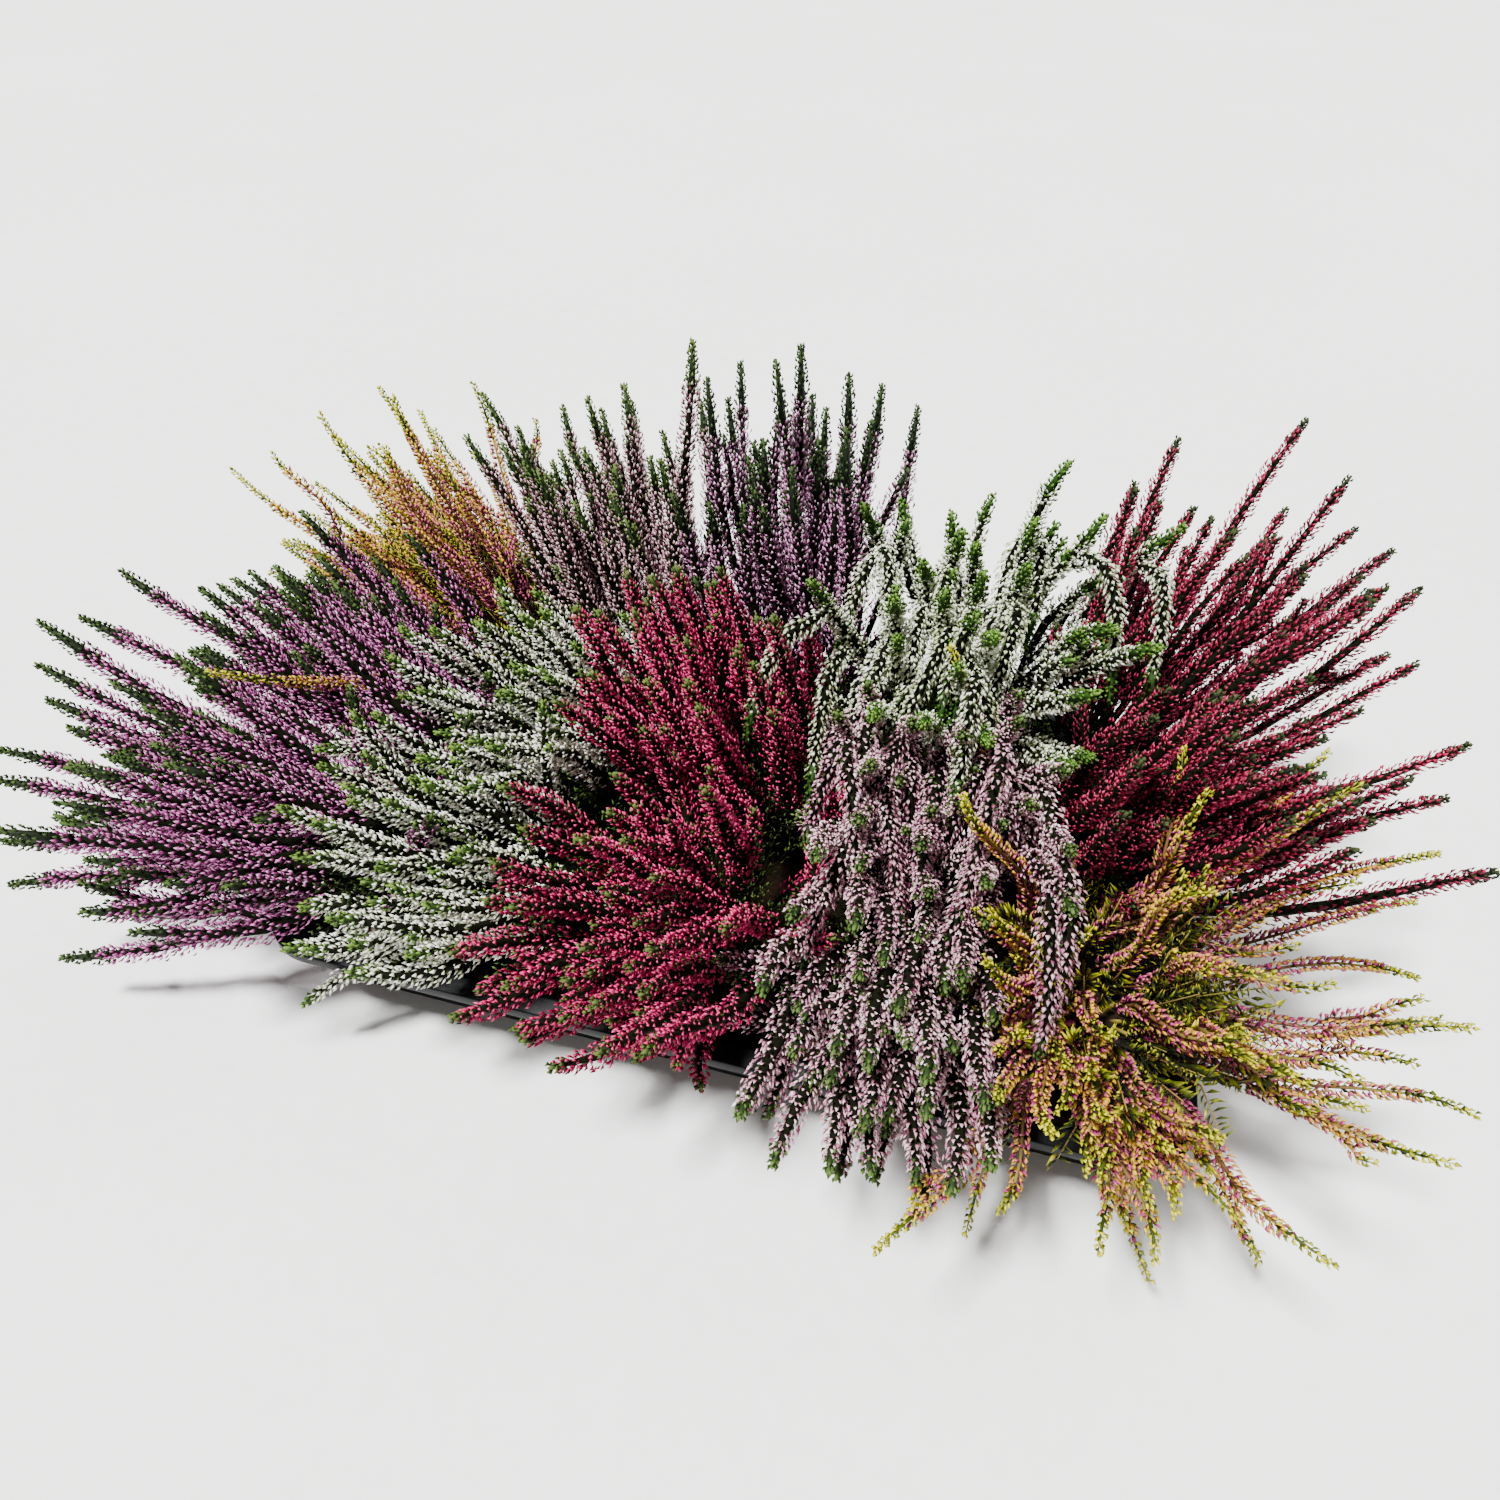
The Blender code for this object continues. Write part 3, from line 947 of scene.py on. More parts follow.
    def weeping(
        self,
        rng: np.random.Generator,
        count: int,
        start_at: Range = (0.40, 0.78),
        size: Range = (0.080, 0.125),
        swing: float = 0.62,
        arch: Range = (0.9, 0.52),
        hang: Range = (0.78, 0.45),
        girth: Range = (0.80, 0.95),
    ) -> Shoots:
        """Return side shoots that rise with these, arch over to the front and hang down.

        The parents are the taller half of the shoots. A side shoot's bend is its start plus its
        length times a blend of the parent's way and of a level way near the front, and its tip
        lies further along the level way and lower.

        Args:
            rng: source of the choice.
            count: how many are wanted.
            start_at: least and greatest place on the parent where one starts.
            size: least and greatest length.
            swing: greatest turn of the level way from straight ahead, in radians.
            arch: how much of the level way goes into the bend, and how far off the bend lies.
            hang: how far ahead and how far down the tip lies, as shares of the length.
            girth: least and greatest thickness against the parent.

        Returns:
            The hanging shoots.
        """
        tall = np.argsort(-self.curves[2, :, 2])[: len(self.girth) // 2]
        owner = rng.permutation(np.resize(tall, count))
        start, along, _, _ = self.frames(owner, rng.uniform(*start_at, count))
        heading = rng.uniform(-swing, swing, count) - math.pi / 2
        level = np.column_stack((np.cos(heading), np.sin(heading), np.zeros(count)))
        length = rng.uniform(*size, count)[:, None]
        bend = start + unit(along + arch[0] * level) * length * arch[1]
        tip = start + (hang[0] * level - (0.0, 0.0, hang[1])) * length
        return self.branched(rng, [start, bend, tip], owner, rng.uniform(*girth, count))


@dataclass(frozen=True)
class Variety:
    """One kind of heather: its habit, its colours and the sizes of its buds and leaves.

    Attributes:
        name: plain name of the colour, which starts the names of its finishes.
        habit: how it carries its buds.
        petals: colours of the buds.
        leaves: colours of the leaves.
        bud_angle: degrees between a bud and its shoot.
        flowers_to: share of the shoot at which the buds end and the leafy tip begins.
        bud_spacing: distance along the shoot from one bud to the next.
        bud_droop: how far the buds hang, as a share of their length.
        wave: how far the shoots wave from side to side.
        leaf_length: length of a leaf of the undergrowth.
        sprigs: number of leafy sprigs round the plant's foot.
        leafy_shoots: number of short leafy shoots between the flowering ones.
        leafy_size: their least and greatest length against the flowering ones.
        short_shoots: number of short flowering shoots between the others.
        side_shoots: number of flowering shoots that fork off the main ones.
        young_shoots: number of young flowering shoots round the crown.
        hanging_shoots: number of side shoots that arch over to the front and hang, except in
            the front row.
        girth: thickness of its shoots against a full one.
        stalk: thickness of a shoot's stalk, as a share of its outline.
        tip_core: thickness of the leafy tip's body, as a share of the outline.
        tip_tone: how much paler than usual that body is; below 0 it is darker, partly painted shade
            between the scales.
        bark: finish of the twigs, stalks and core; the usual one is near-black, partly painted shade.
    """

    name: str
    habit: Habit
    petals: Ramp
    leaves: Ramp
    bud_angle: float = 35.0
    flowers_to: float = 0.88
    bud_spacing: float = 0.00046
    bud_droop: float = 0.0
    wave: float = 0.0036
    leaf_length: float = 0.0042
    sprigs: int = 36
    leafy_shoots: int = 6
    leafy_size: Range = (0.36, 0.58)
    short_shoots: int = 8
    side_shoots: int = 24
    young_shoots: int = 10
    hanging_shoots: int = 0
    girth: float = 0.84
    stalk: float = 0.34
    tip_core: float = 0.48
    tip_tone: float = -0.28
    bark: GrownFinish = BARK_AND_PAINTED_SHADE

    def buds(self, hanging: bool) -> list[Whorls]:
        """Return what stands for the flowers of a shoot.

        Args:
            hanging: whether the shoot hangs. The buds of a spike then start nearer its foot.

        Returns:
            The buds, or the cream bracts and the pink flowers among them.
        """
        shape = Kite(widest=0.52, lift=0.42)
        if self.habit is Habit.SPIKE:
            stretch = (0.05 if hanging else 0.22, self.flowers_to)
            bud = Whorls(shape, self.bud_spacing, stretch, (0.0048, 0.0022), self.bud_angle, reach=1.0)
            return [replace(bud, droop=self.bud_droop, fade=-0.12, spread=11.0, layers=0.60)]
        cream = Whorls(shape, 0.00054, (0.16, self.flowers_to), (0.0050, 0.0025), angle=36.0, reach=0.86)
        cream = replace(cream, turn=math.pi / 2, around=2, spread=4.0, crowding=1.0)
        cream = replace(cream, layers=0.9, fade=0.9, tone=0.12)
        pink = replace(cream, spacing=0.00090, stretch=(0.10, 0.84), angle=52.0, reach=1.0)
        return [cream, replace(pink, spread=10.0, layers=0.6, fade=0.2, tone=-0.34)]

    def scales(self) -> list[Whorls]:
        """Return what stands for the leaves of a flowering shoot.

        Returns:
            The small leaves among the buds and those of the dense tip.
        """
        stretch = (0.05, self.flowers_to)
        among = Whorls(Kite(), 0.0032, stretch, (0.0044, 0.0016), angle=42.0, reach=0.75, tone=-0.2)
        reach, tone = (0.66, 0.26) if self.habit is Habit.BRAID else (0.94, -0.05)
        scale, stretch = Kite(widest=0.50, lift=0.5), (self.flowers_to - 0.04, 0.985)
        tip = Whorls(scale, 0.00056, stretch, (0.0038, 0.0024), angle=28.0, reach=reach, tone=tone)
        return [among, replace(tip, crowding=1.0, layers=0.70, fade=0.3, spread=9.0)]

    def foliage(self) -> Whorls:
        """Return what stands for the leaves of the leafy shoots and sprigs.

        Returns:
            Leaves in two ranks for the braided habit, and else all round.
        """
        if self.habit is Habit.BRAID:
            size = (self.leaf_length, 0.0025)
            comb = Whorls(Kite(), 0.00100, (0.10, 0.99), size, angle=58.0, reach=1.0, turn=0.12)
            return replace(comb, around=2, crowding=1.0, tone=-0.12, layers=0.8, fade=0.35)
        size = (self.leaf_length, 0.0018)
        leaf = Whorls(Kite(), 0.00125, (0.08, 0.99), size, angle=46.0, reach=0.95)
        return replace(leaf, crowding=1.0, tone=-0.15, fade=0.3)


# In each petal ramp the near-black foot is partly painted shade between the buds, and the pale tip partly
# a painted highlight.
PURPLE = Variety(
    "purple",
    Habit.SPIKE,
    Ramp(("500F3B", "8A276B", "B35395", "DEACCE"), "10030A", "EACBDF", 0.50, 0.50),
    Ramp(("101A06", "1D2D0B", "2B4012", "425B1E"), "0D1408", "506C2B"),
    flowers_to=0.87,
    bud_spacing=0.00044,
    girth=1.10,
)
WHITE = Variety(
    "white",
    Habit.SPIKE,
    Ramp(("C2C69E", "E2E5CA", "F6F6E8", "FFFFFA"), "1A260A", "FFFFFF", 0.66, 0.64),
    Ramp(("21370C", "355315", "4B6C20", "6C8932"), "18290A", "7B983D"),
    bud_angle=38.0,
    bud_droop=0.25,
    flowers_to=0.925,
    short_shoots=5,
    side_shoots=16,
    young_shoots=7,
    girth=1.00,
)
CRIMSON = Variety(
    "crimson",
    Habit.SPIKE,
    Ramp(("6A0230", "A60048", "C80A60", "DC4E8C"), "120106", "E88EB2", 0.50, 0.24),
    Ramp(("1B2509", "2B3B0E", "3E5419", "5E6B2E"), "141B09", "657735"),
    flowers_to=0.955,
    short_shoots=5,
    side_shoots=15,
    young_shoots=6,
    girth=1.04,
)
DARK_CRIMSON = Variety(
    "dark_crimson",
    Habit.SPIKE,
    Ramp(("430014", "760129", "9A073A", "B93565"), "0C0103", "CF6389", 0.50, 0.30),
    Ramp(("0F1408", "1A220E", "273414", "3A431F"), "0C1107", "435126"),
    flowers_to=0.955,
    short_shoots=6,
    side_shoots=16,
    girth=0.98,
)
PALE_PINK = Variety(
    "pale_pink",
    Habit.SPIKE,
    Ramp(("7E3456", "B07088", "DAACB4", "F6E6E4"), "12080A", "FDF8FA", 0.60, 0.64),
    Ramp(("192B0B", "294014", "3D571E", "5B7432"), "121E09", "657E3B"),
    flowers_to=0.93,
    short_shoots=5,
    side_shoots=12,
    young_shoots=2,
    hanging_shoots=20,
    girth=1.04,
)
GOLD = Variety(
    "gold",
    Habit.BRAID,
    Ramp(("74104A", "A62C70", "B47C30", "C89E14"), "1C060C", "E6C456", 0.95, 0.45),
    Ramp(("0E1602", "2A3804", "6C7408", "CCC60A"), "0A1002", "DCD412"),
    flowers_to=0.82,
    wave=0.0064,
    leaf_length=0.0084,
    sprigs=60,
    leafy_shoots=32,
    leafy_size=(0.46, 0.72),
    short_shoots=14,
    side_shoots=25,
    young_shoots=5,
    girth=0.70,
    stalk=0.16,
    tip_core=0.20,
    tip_tone=0.10,
    bark=YOUNG_BARK,
)
LIGHT_PINK = Variety(
    "light_pink",
    Habit.SPIKE,
    Ramp(("5E2A3E", "8A5064", "BA8C96", "E6D4C8"), "100A06", "F4ECE6", 0.66, 0.62),
    Ramp(("19290B", "293E14", "40571E", "5E7032"), "121E09", "697C3B"),
    flowers_to=0.88,
    side_shoots=18,
    girth=0.96,
)
MAUVE = Variety(
    "mauve",
    Habit.SPIKE,
    Ramp(("541F42", "8C4274", "BA76A2", "E3BDD3"), "0E0409", "EEDBE6", 0.50, 0.56),
    Ramp(("0C1606", "16270A", "223711", "354C1B"), "0A1307", "435B26"),
    flowers_to=0.85,
    side_shoots=18,
    girth=0.96,
)
WHITE_GREEN = Variety(
    "white_green",
    Habit.SPIKE,
    Ramp(("A9B780", "D0D9B0", "ECF0D8", "FDFDF4"), "16260A", "FFFFFF", 0.66, 0.62),
    Ramp(("213D0C", "355A15", "4B7321", "6A9135"), "182C0A", "799B40"),
    bud_angle=38.0,
    bud_droop=0.25,
    leafy_shoots=14,
    flowers_to=0.85,
    short_shoots=4,
    side_shoots=18,
    young_shoots=2,
    hanging_shoots=28,
    girth=0.94,
)


@dataclass(frozen=True)
class Plant:
    """One heather of the planting, with the same cell, lengths, arch and seed as its solid.

    Attributes:
        node: the frame's node that it stands for.
        row: its row, from the front.
        column: its column, from the left.
        middle_length: length of the shoots in its middle.
        outer_length: length of the shoots round its edge.
        arch: how much the shoots' bends are raised, as a share of their length.
        seed: seed of its small differences.
        variety: its kind.
    """

    node: str
    row: int
    column: int
    middle_length: float
    outer_length: float
    arch: float
    seed: int
    variety: Variety


PLANTS = (
    Plant("heather_purple_front", 0, 0, 0.185, 0.195, -0.04, 11, PURPLE),
    Plant("heather_white_front", 0, 1, 0.120, 0.130, -0.02, 12, WHITE),
    Plant("heather_crimson_front", 0, 2, 0.155, 0.150, -0.02, 13, CRIMSON),
    Plant("heather_pale_pink_front", 0, 3, 0.135, 0.135, 0.12, 14, PALE_PINK),
    Plant("heather_gold_front", 0, 4, 0.110, 0.165, 0.02, 15, GOLD),
    Plant("heather_purple_middle", 1, 0, 0.175, 0.170, -0.04, 16, PURPLE),
    Plant("heather_white_middle", 1, 1, 0.140, 0.140, 0.08, 17, WHITE),
    Plant("heather_crimson_middle", 1, 2, 0.152, 0.146, -0.02, 18, CRIMSON),
    Plant("heather_pale_pink_middle", 1, 3, 0.150, 0.150, 0.16, 19, PALE_PINK),
    Plant("heather_dark_crimson_middle", 1, 4, 0.155, 0.170, 0.00, 20, DARK_CRIMSON),
    Plant("heather_gold_back", 2, 0, 0.180, 0.205, 0.02, 21, GOLD),
    Plant("heather_light_pink_back", 2, 1, 0.180, 0.175, 0.00, 22, LIGHT_PINK),
    Plant("heather_mauve_back", 2, 2, 0.205, 0.190, 0.00, 23, MAUVE),
    Plant("heather_white_green_back", 2, 3, 0.180, 0.170, 0.20, 24, WHITE_GREEN),
    Plant("heather_dark_crimson_back", 2, 4, 0.190, 0.185, 0.00, 25, DARK_CRIMSON),
)
# Bend and tip of the long shoots that grow out among the neighbouring plants, by heather.
STRAYS: dict[str, tuple[tuple[Point, Point], ...]] = {
    "heather_gold_back": (
        ((-0.240, 0.000, 0.140), (-0.302, -0.097, 0.225)),
        ((-0.262, 0.112, 0.210), (-0.287, 0.127, 0.285)),
    ),
    "heather_gold_front": (
        ((0.150, -0.030, 0.160), (0.102, 0.008, 0.252)),
        ((0.318, 0.006, 0.132), (0.396, 0.030, 0.146)),
        ((0.326, -0.002, 0.106), (0.398, 0.020, 0.108)),
        ((0.336, -0.022, 0.098), (0.402, -0.014, 0.082)),
        ((0.268, -0.018, 0.162), (0.316, 0.028, 0.206)),
        ((0.250, -0.034, 0.162), (0.233, 0.002, 0.214)),
        ((0.270, -0.142, 0.086), (0.322, -0.186, 0.034)),
        ((0.222, -0.160, 0.088), (0.268, -0.212, 0.034)),
        ((0.176, -0.164, 0.092), (0.168, -0.216, 0.040)),
    ),
    "heather_crimson_front": (
        ((0.078, -0.122, 0.105), (0.046, -0.086, 0.182)),
        ((0.004, -0.155, 0.070), (0.022, -0.198, 0.095)),
    ),
    "heather_crimson_middle": (
        ((0.060, -0.040, 0.150), (0.066, -0.060, 0.200)),
    ),
    "heather_pale_pink_front": (
        ((0.050, -0.140, 0.066), (-0.018, -0.162, 0.102)),
    ),
    "heather_purple_front": (
        ((-0.290, -0.165, 0.060), (-0.407, -0.200, 0.045)),
        ((-0.345, -0.150, 0.094), (-0.446, -0.178, 0.082)),
        ((-0.350, -0.136, 0.106), (-0.452, -0.160, 0.104)),
        ((-0.354, -0.118, 0.122), (-0.462, -0.140, 0.132)),
        ((-0.340, -0.090, 0.140), (-0.450, -0.086, 0.160)),
    ),
    "heather_purple_middle": (
        ((-0.340, -0.052, 0.150), (-0.458, -0.034, 0.184)),
        ((-0.334, -0.028, 0.160), (-0.440, 0.000, 0.204)),
    ),
    "heather_white_front": (
        ((-0.190, -0.150, 0.090), (-0.238, -0.188, 0.045)),
    ),
    "heather_light_pink_back": (
        ((-0.080, 0.110, 0.240), (-0.082, 0.135, 0.344)),
    ),
    "heather_mauve_back": (
        ((-0.008, 0.120, 0.240), (-0.019, 0.146, 0.344)),
    ),
}


@dataclass
class Bed:
    """The planting's layout: the cells of the heathers and the curves of their shoots.

    The values and the steps are those of the solids, so that each fine shoot lies in the solid
    that stands for it.

    Attributes:
        rim_height: height of the planter's rim.
        compost_below_rim: how far the compost's top lies below it.
        column_x: walls of the cells from left to right.
        row_y: walls of the cells from front to back.
        lean: how far the shoots lean at the cells' corners, in degrees right and back.
        own_lean: the corners of a cell whose heather leans its own way.
        cell_margin: how far the shoots' places keep off the cell's walls.
        cell_squareness: how far their places fill the cell's corners, from 0 to 1.
        core_radius: half the width of a leafy core.
        core_half_height: half its height.
        core_above_rim: height of its middle above the rim.
        core_lean: how much of the corners' mean lean it takes.
        front_shortening: how much shorter the foremost shoots of the front row are.
        lowest_tip: least height of a tip above the rim.
        lowest_bend: least height of a bend above the rim.
        shoots: number of a heather's main shoots.
        shoot_jitter: how far their places vary, as a share of half the cell.
        length_spread: their least and greatest length against the plain one.
        leader_share: share of them that are leaders.
        leader_gain: length of a leader against the others.
        bend_at: place of the bend on the straight way to the tip.
        ring_at: places of the rings on a solid shoot.
        ring_radius: radii of these rings.
        crowding_rounds: rounds in which crowding shoots move apart.
        crowding_steps: places on each shoot that are compared.
        crowding_from: the first of these places.
        facet_radius: radius of a solid shoot at its start.
        stiffness: how little a shoot gives way near its start.
        crowding_reach: distance from which two shoots are compared at all.
        elbow_room: gap that they leave between them.
        give: how much of an overlap one round takes away.
    """

    rim_height: float = 0.075
    compost_below_rim: float = 0.007
    column_x: tuple[float, ...] = (-0.264, -0.159, -0.053, 0.053, 0.159, 0.264)
    row_y: tuple[float, ...] = (-0.157, -0.052, 0.052, 0.157)
    lean: tuple[tuple[Range, ...], ...] = (
        ((-80, -28), (-58, -46), (-46, -60), (-18, -66), (24, -76), (62, -78)),
        ((-74, 6), (-40, -4), (-26, -20), (-6, -26), (8, -24), (62, 4)),
        ((-66, 18), (-30, 10), (-14, 0), (-2, -6), (18, -10), (54, 20)),
        ((-62, 34), (-34, 30), (-12, 28), (2, 28), (20, 20), (34, 36)),
    )
    own_lean: dict[tuple[int, int], tuple[Range, ...]] = field(
        default_factory=lambda: {
            (0, 4): ((-34, -80), (62, -78), (-16, 12), (80, 20)),
            (0, 3): ((-14, -74), (14, -80), (-6, -52), (8, -52)),
            (1, 1): ((-44, -40), (-24, -48), (-32, 2), (-16, -4)),
            (1, 2): ((-28, -12), (-12, -16), (-18, 6), (-6, 2)),
            (1, 3): ((-6, -58), (10, -56), (-2, -20), (12, -22)),
            (2, 0): ((-78, 12), (-40, 6), (-76, 32), (-34, 34)),
            (2, 3): ((-12, -42), (26, -40), (-10, 14), (22, 10)),
            (2, 4): ((8, 2), (54, 20), (2, 30), (38, 34)),
        }
    )
    cell_margin: float = 0.0065
    cell_squareness: float = 0.8
    core_radius: float = 0.045
    core_half_height: float = 0.026
    core_above_rim: float = 0.026
    core_lean: float = 0.6
    front_shortening: float = 0.35
    lowest_tip: float = -0.020
    lowest_bend: float = 0.026
    shoots: int = 28
    shoot_jitter: float = 0.12
    length_spread: Range = (0.80, 1.10)
    leader_share: float = 0.15
    leader_gain: float = 1.15
    bend_at: float = 0.45
    ring_at: tuple[float, ...] = (0.10, 0.30, 0.48, 0.66, 0.84, 1.0)
    ring_radius: tuple[float, ...] = (0.0042, 0.0070, 0.0080, 0.0077, 0.0060, 0.0014)
    crowding_rounds: int = 120
    crowding_steps: int = 16
    crowding_from: float = 0.07
    facet_radius: float = 0.0080
    stiffness: float = 0.02
    crowding_reach: float = 0.035
    elbow_room: float = 0.0010
    give: float = 0.25

    def cell_centre(self, plant: Plant) -> tuple[float, float]:
        """Return x and y of the middle of the plant's cell."""
        ends = self.column_x[plant.column : plant.column + 2], self.row_y[plant.row : plant.row + 2]
        return sum(ends[0]) / 2, sum(ends[1]) / 2

    def core_middle(self, plant: Plant) -> Array:
        """Return the middle of the plant's leafy core."""
        x, y = self.cell_centre(plant)
        return np.array((x, y, self.rim_height + self.core_above_rim))

    @property
    def core_size(self) -> Array:
        """Half the size of a leafy core along each axis."""
        return np.array((self.core_radius, self.core_radius, self.core_half_height))

    @staticmethod
    def leaning(lean: Array) -> Array:
        """Return unit vectors that lean from upright by these angles, to the right and back.

        The tilt is the length of the pair of angles, and its heading is the pair's own.

        Args:
            lean: pairs of angles in radians.

        Returns:
            One unit vector for each pair.
        """
        tilt = np.maximum(np.hypot(lean[:, 0], lean[:, 1]), 1e-9)
        side = lean * (np.sin(tilt) / tilt)[:, None]
        return np.column_stack((side, np.cos(tilt)))

    def corner_leans(self, plant: Plant) -> Array:
        """Return the lean at the four corners of the plant's cell.

        Args:
            plant: the heather.

        Returns:
            Two angles in radians for each corner, or only the plant's own two.
        """
        row, column = plant.row, plant.column
        corners = self.lean[row][column : column + 2] + self.lean[row + 1][column : column + 2]
        return np.radians(np.array(self.own_lean.get((row, column), corners), float))

    def core_axis(self, plant: Plant) -> Array:
        """Return the unit vector that the core's crown faces."""
        return self.leaning(self.corner_leans(plant).mean(axis=0, keepdims=True) * self.core_lean)[0]

    def facet_facings(self, plant: Plant) -> Array:
        """Return the unit vectors of the core's facets that the shoots grow from.

        Args:
            plant: the heather.

        Returns:
            The facings, from the crown downwards.
        """
        bm = bmesh.new()
        bmesh.ops.create_icosphere(bm, subdivisions=2, radius=1.0)
        spin = Matrix.Rotation(plant.seed, 3, "Z")
        bmesh.ops.rotate(bm, verts=bm.verts, cent=(0, 0, 0), matrix=spin)
        bmesh.ops.dissolve_verts(bm, verts=[min(bm.verts, key=lambda vert: vert.co.z)])
        underside = min(bm.faces, key=lambda face: face.calc_center_median().z)
        axis = Vector(self.core_axis(plant))
        others = [face for face in bm.faces if face != underside]
        others.sort(key=lambda face: -axis.dot(face.calc_center_median()))
        facings = np.array([face.calc_center_median().normalized() for face in others[: self.shoots]])
        bm.free()
        return facings

    def shoot_curves(self, plant: Plant) -> Array:
        """Return start, bend and tip of each shoot of the plant.

        A shoot's place in the cell follows from the way its facet faces, the four corners'
        leans are blended there, and the shoot runs that way from its place.

        Args:
            plant: the heather.

        Returns:
            The curves by control point, shoot and axis.
        """
        facings = self.facet_facings(plant)
        rng = np.random.default_rng(plant.seed)
        count = len(facings)
        upright = Vector(self.core_axis(plant)).rotation_difference(Vector((0, 0, 1)))
        turned = facings @ np.array(upright.to_matrix()).T
        tilt = np.arccos(np.clip(turned[:, 2], -1, 1))
        outward = tilt / tilt.max()
        heading = np.arctan2(turned[:, 1], turned[:, 0])
        squareness = np.maximum(np.abs(np.cos(heading)), np.abs(np.sin(heading)))
        place = outward / squareness**self.cell_squareness * np.array((np.cos(heading), np.sin(heading)))
        jitter = rng.uniform(-self.shoot_jitter, self.shoot_jitter, (2, count))
        across, along = np.clip(place + jitter, -1, 1)
        u, v = ((across + 1) / 2)[:, None], ((along + 1) / 2)[:, None]
        corners = self.corner_leans(plant)
        front = (1 - u) * corners[0] + u * corners[1]
        back = (1 - u) * corners[2] + u * corners[3]
        aim = self.leaning((1 - v) * front + v * back)
        length = plant.middle_length + (plant.outer_length - plant.middle_length) * outward
        length *= rng.uniform(*self.length_spread, count)
        length *= np.where(rng.uniform(0, 1, count) < self.leader_share, self.leader_gain, 1.0)
        if plant.row == 0:
            length *= 1 - self.front_shortening * np.clip(-along, 0, 1) ** 2
        length = length[:, None]
        middle = self.core_middle(plant)
        half_x = middle[0] - self.column_x[plant.column] - self.cell_margin
        half_y = middle[1] - self.row_y[plant.row] - self.cell_margin
        root = middle + np.column_stack((across * half_x, along * half_y, np.zeros(count)))
        bend = root + aim * length * self.bend_at
        bend[:, 2] += plant.arch * length[:, 0]
        return self.lifted(np.array((middle + facings * self.core_size, bend, root + aim * length)))

    def lifted(self, curves: Array) -> Array:
        """Lift the bends and tips that reach too far down.

        Args:
            curves: the curves, which are changed in place.

        Returns:
            The same curves.
        """
        curves[1, :, 2] = np.maximum(curves[1, :, 2], self.rim_height + self.lowest_bend)
        curves[2, :, 2] = np.maximum(curves[2, :, 2], self.rim_height + self.lowest_tip)
        return curves

    @staticmethod
    def along_curves(curves: Array, t: Array) -> Array:
        """Return the points of many curves at each t, by place, curve and axis."""
        return quadratic(*curves, t[:, None, None])

    def near_pairs(self, curves: Array, t: Array) -> tuple[Array, Array]:
        """Return the pairs of shoots that may crowd each other.

        Args:
            curves: the curves of all heathers.
            t: the places along them that are compared.

        Returns:
            The numbers of the first shoots and of the second ones.
        """
        points = self.along_curves(curves, t).transpose(1, 0, 2)
        first, second = [], []
        for i, path in enumerate(points[:-1]):
            gap = np.linalg.norm(points[i + 1 :] - path, axis=2).min(axis=1)
            found = np.flatnonzero(gap < self.crowding_reach)
            first += [i] * len(found)
            second += list(i + 1 + found)
        return np.array(first), np.array(second)

    def give_way(self, curves: Array) -> Array:
        """Return the curves once shoots that crowd each other have moved apart.

        In each round, every pair is pushed apart where its outlines overlap most, by moving
        the bends and tips in proportion to their weight at that place.

        Args:
            curves: the curves of all heathers.

        Returns:
            The eased curves.
        """
        curves = curves.copy()
        t = np.linspace(self.crowding_from, 1.0, self.crowding_steps)
        radius = np.interp(t, (0, *self.ring_at), (self.facet_radius, *self.ring_radius))
        room = radius[:, None] + radius[None, :] + self.elbow_room
        weight = np.stack((2 * t * (1 - t), t**2))
        weight /= (weight**2).sum(axis=0) + self.stiffness
        first, second = self.near_pairs(curves, t)
        rows = np.arange(len(first))
        for _ in range(self.crowding_rounds):
            points = self.along_curves(curves, t).transpose(1, 0, 2)
            gap = points[first][:, :, None] - points[second][:, None, :]
            distance = np.linalg.norm(gap, axis=3)
            overlap = (room - distance).reshape(len(first), -1)
            worst = overlap.argmax(axis=1)
            a, b = np.unravel_index(worst, room.shape)
            push = np.clip(overlap[rows, worst], 0, None) / np.maximum(distance[rows, a, b], 1e-6)
            push = self.give * push[:, None] * gap[rows, a, b]
            for point in (0, 1):
                np.add.at(curves[point + 1], first, weight[point][a][:, None] * push)
                np.add.at(curves[point + 1], second, -weight[point][b][:, None] * push)
            curves = self.lifted(curves)
        return curves

    def all_shoots(self) -> list[Array]:
        """Return the eased curves of every plant, in the order of PLANTS."""
        curves = [self.shoot_curves(plant) for plant in PLANTS]
        return np.split(self.give_way(np.concatenate(curves, axis=1)), len(PLANTS), axis=1)


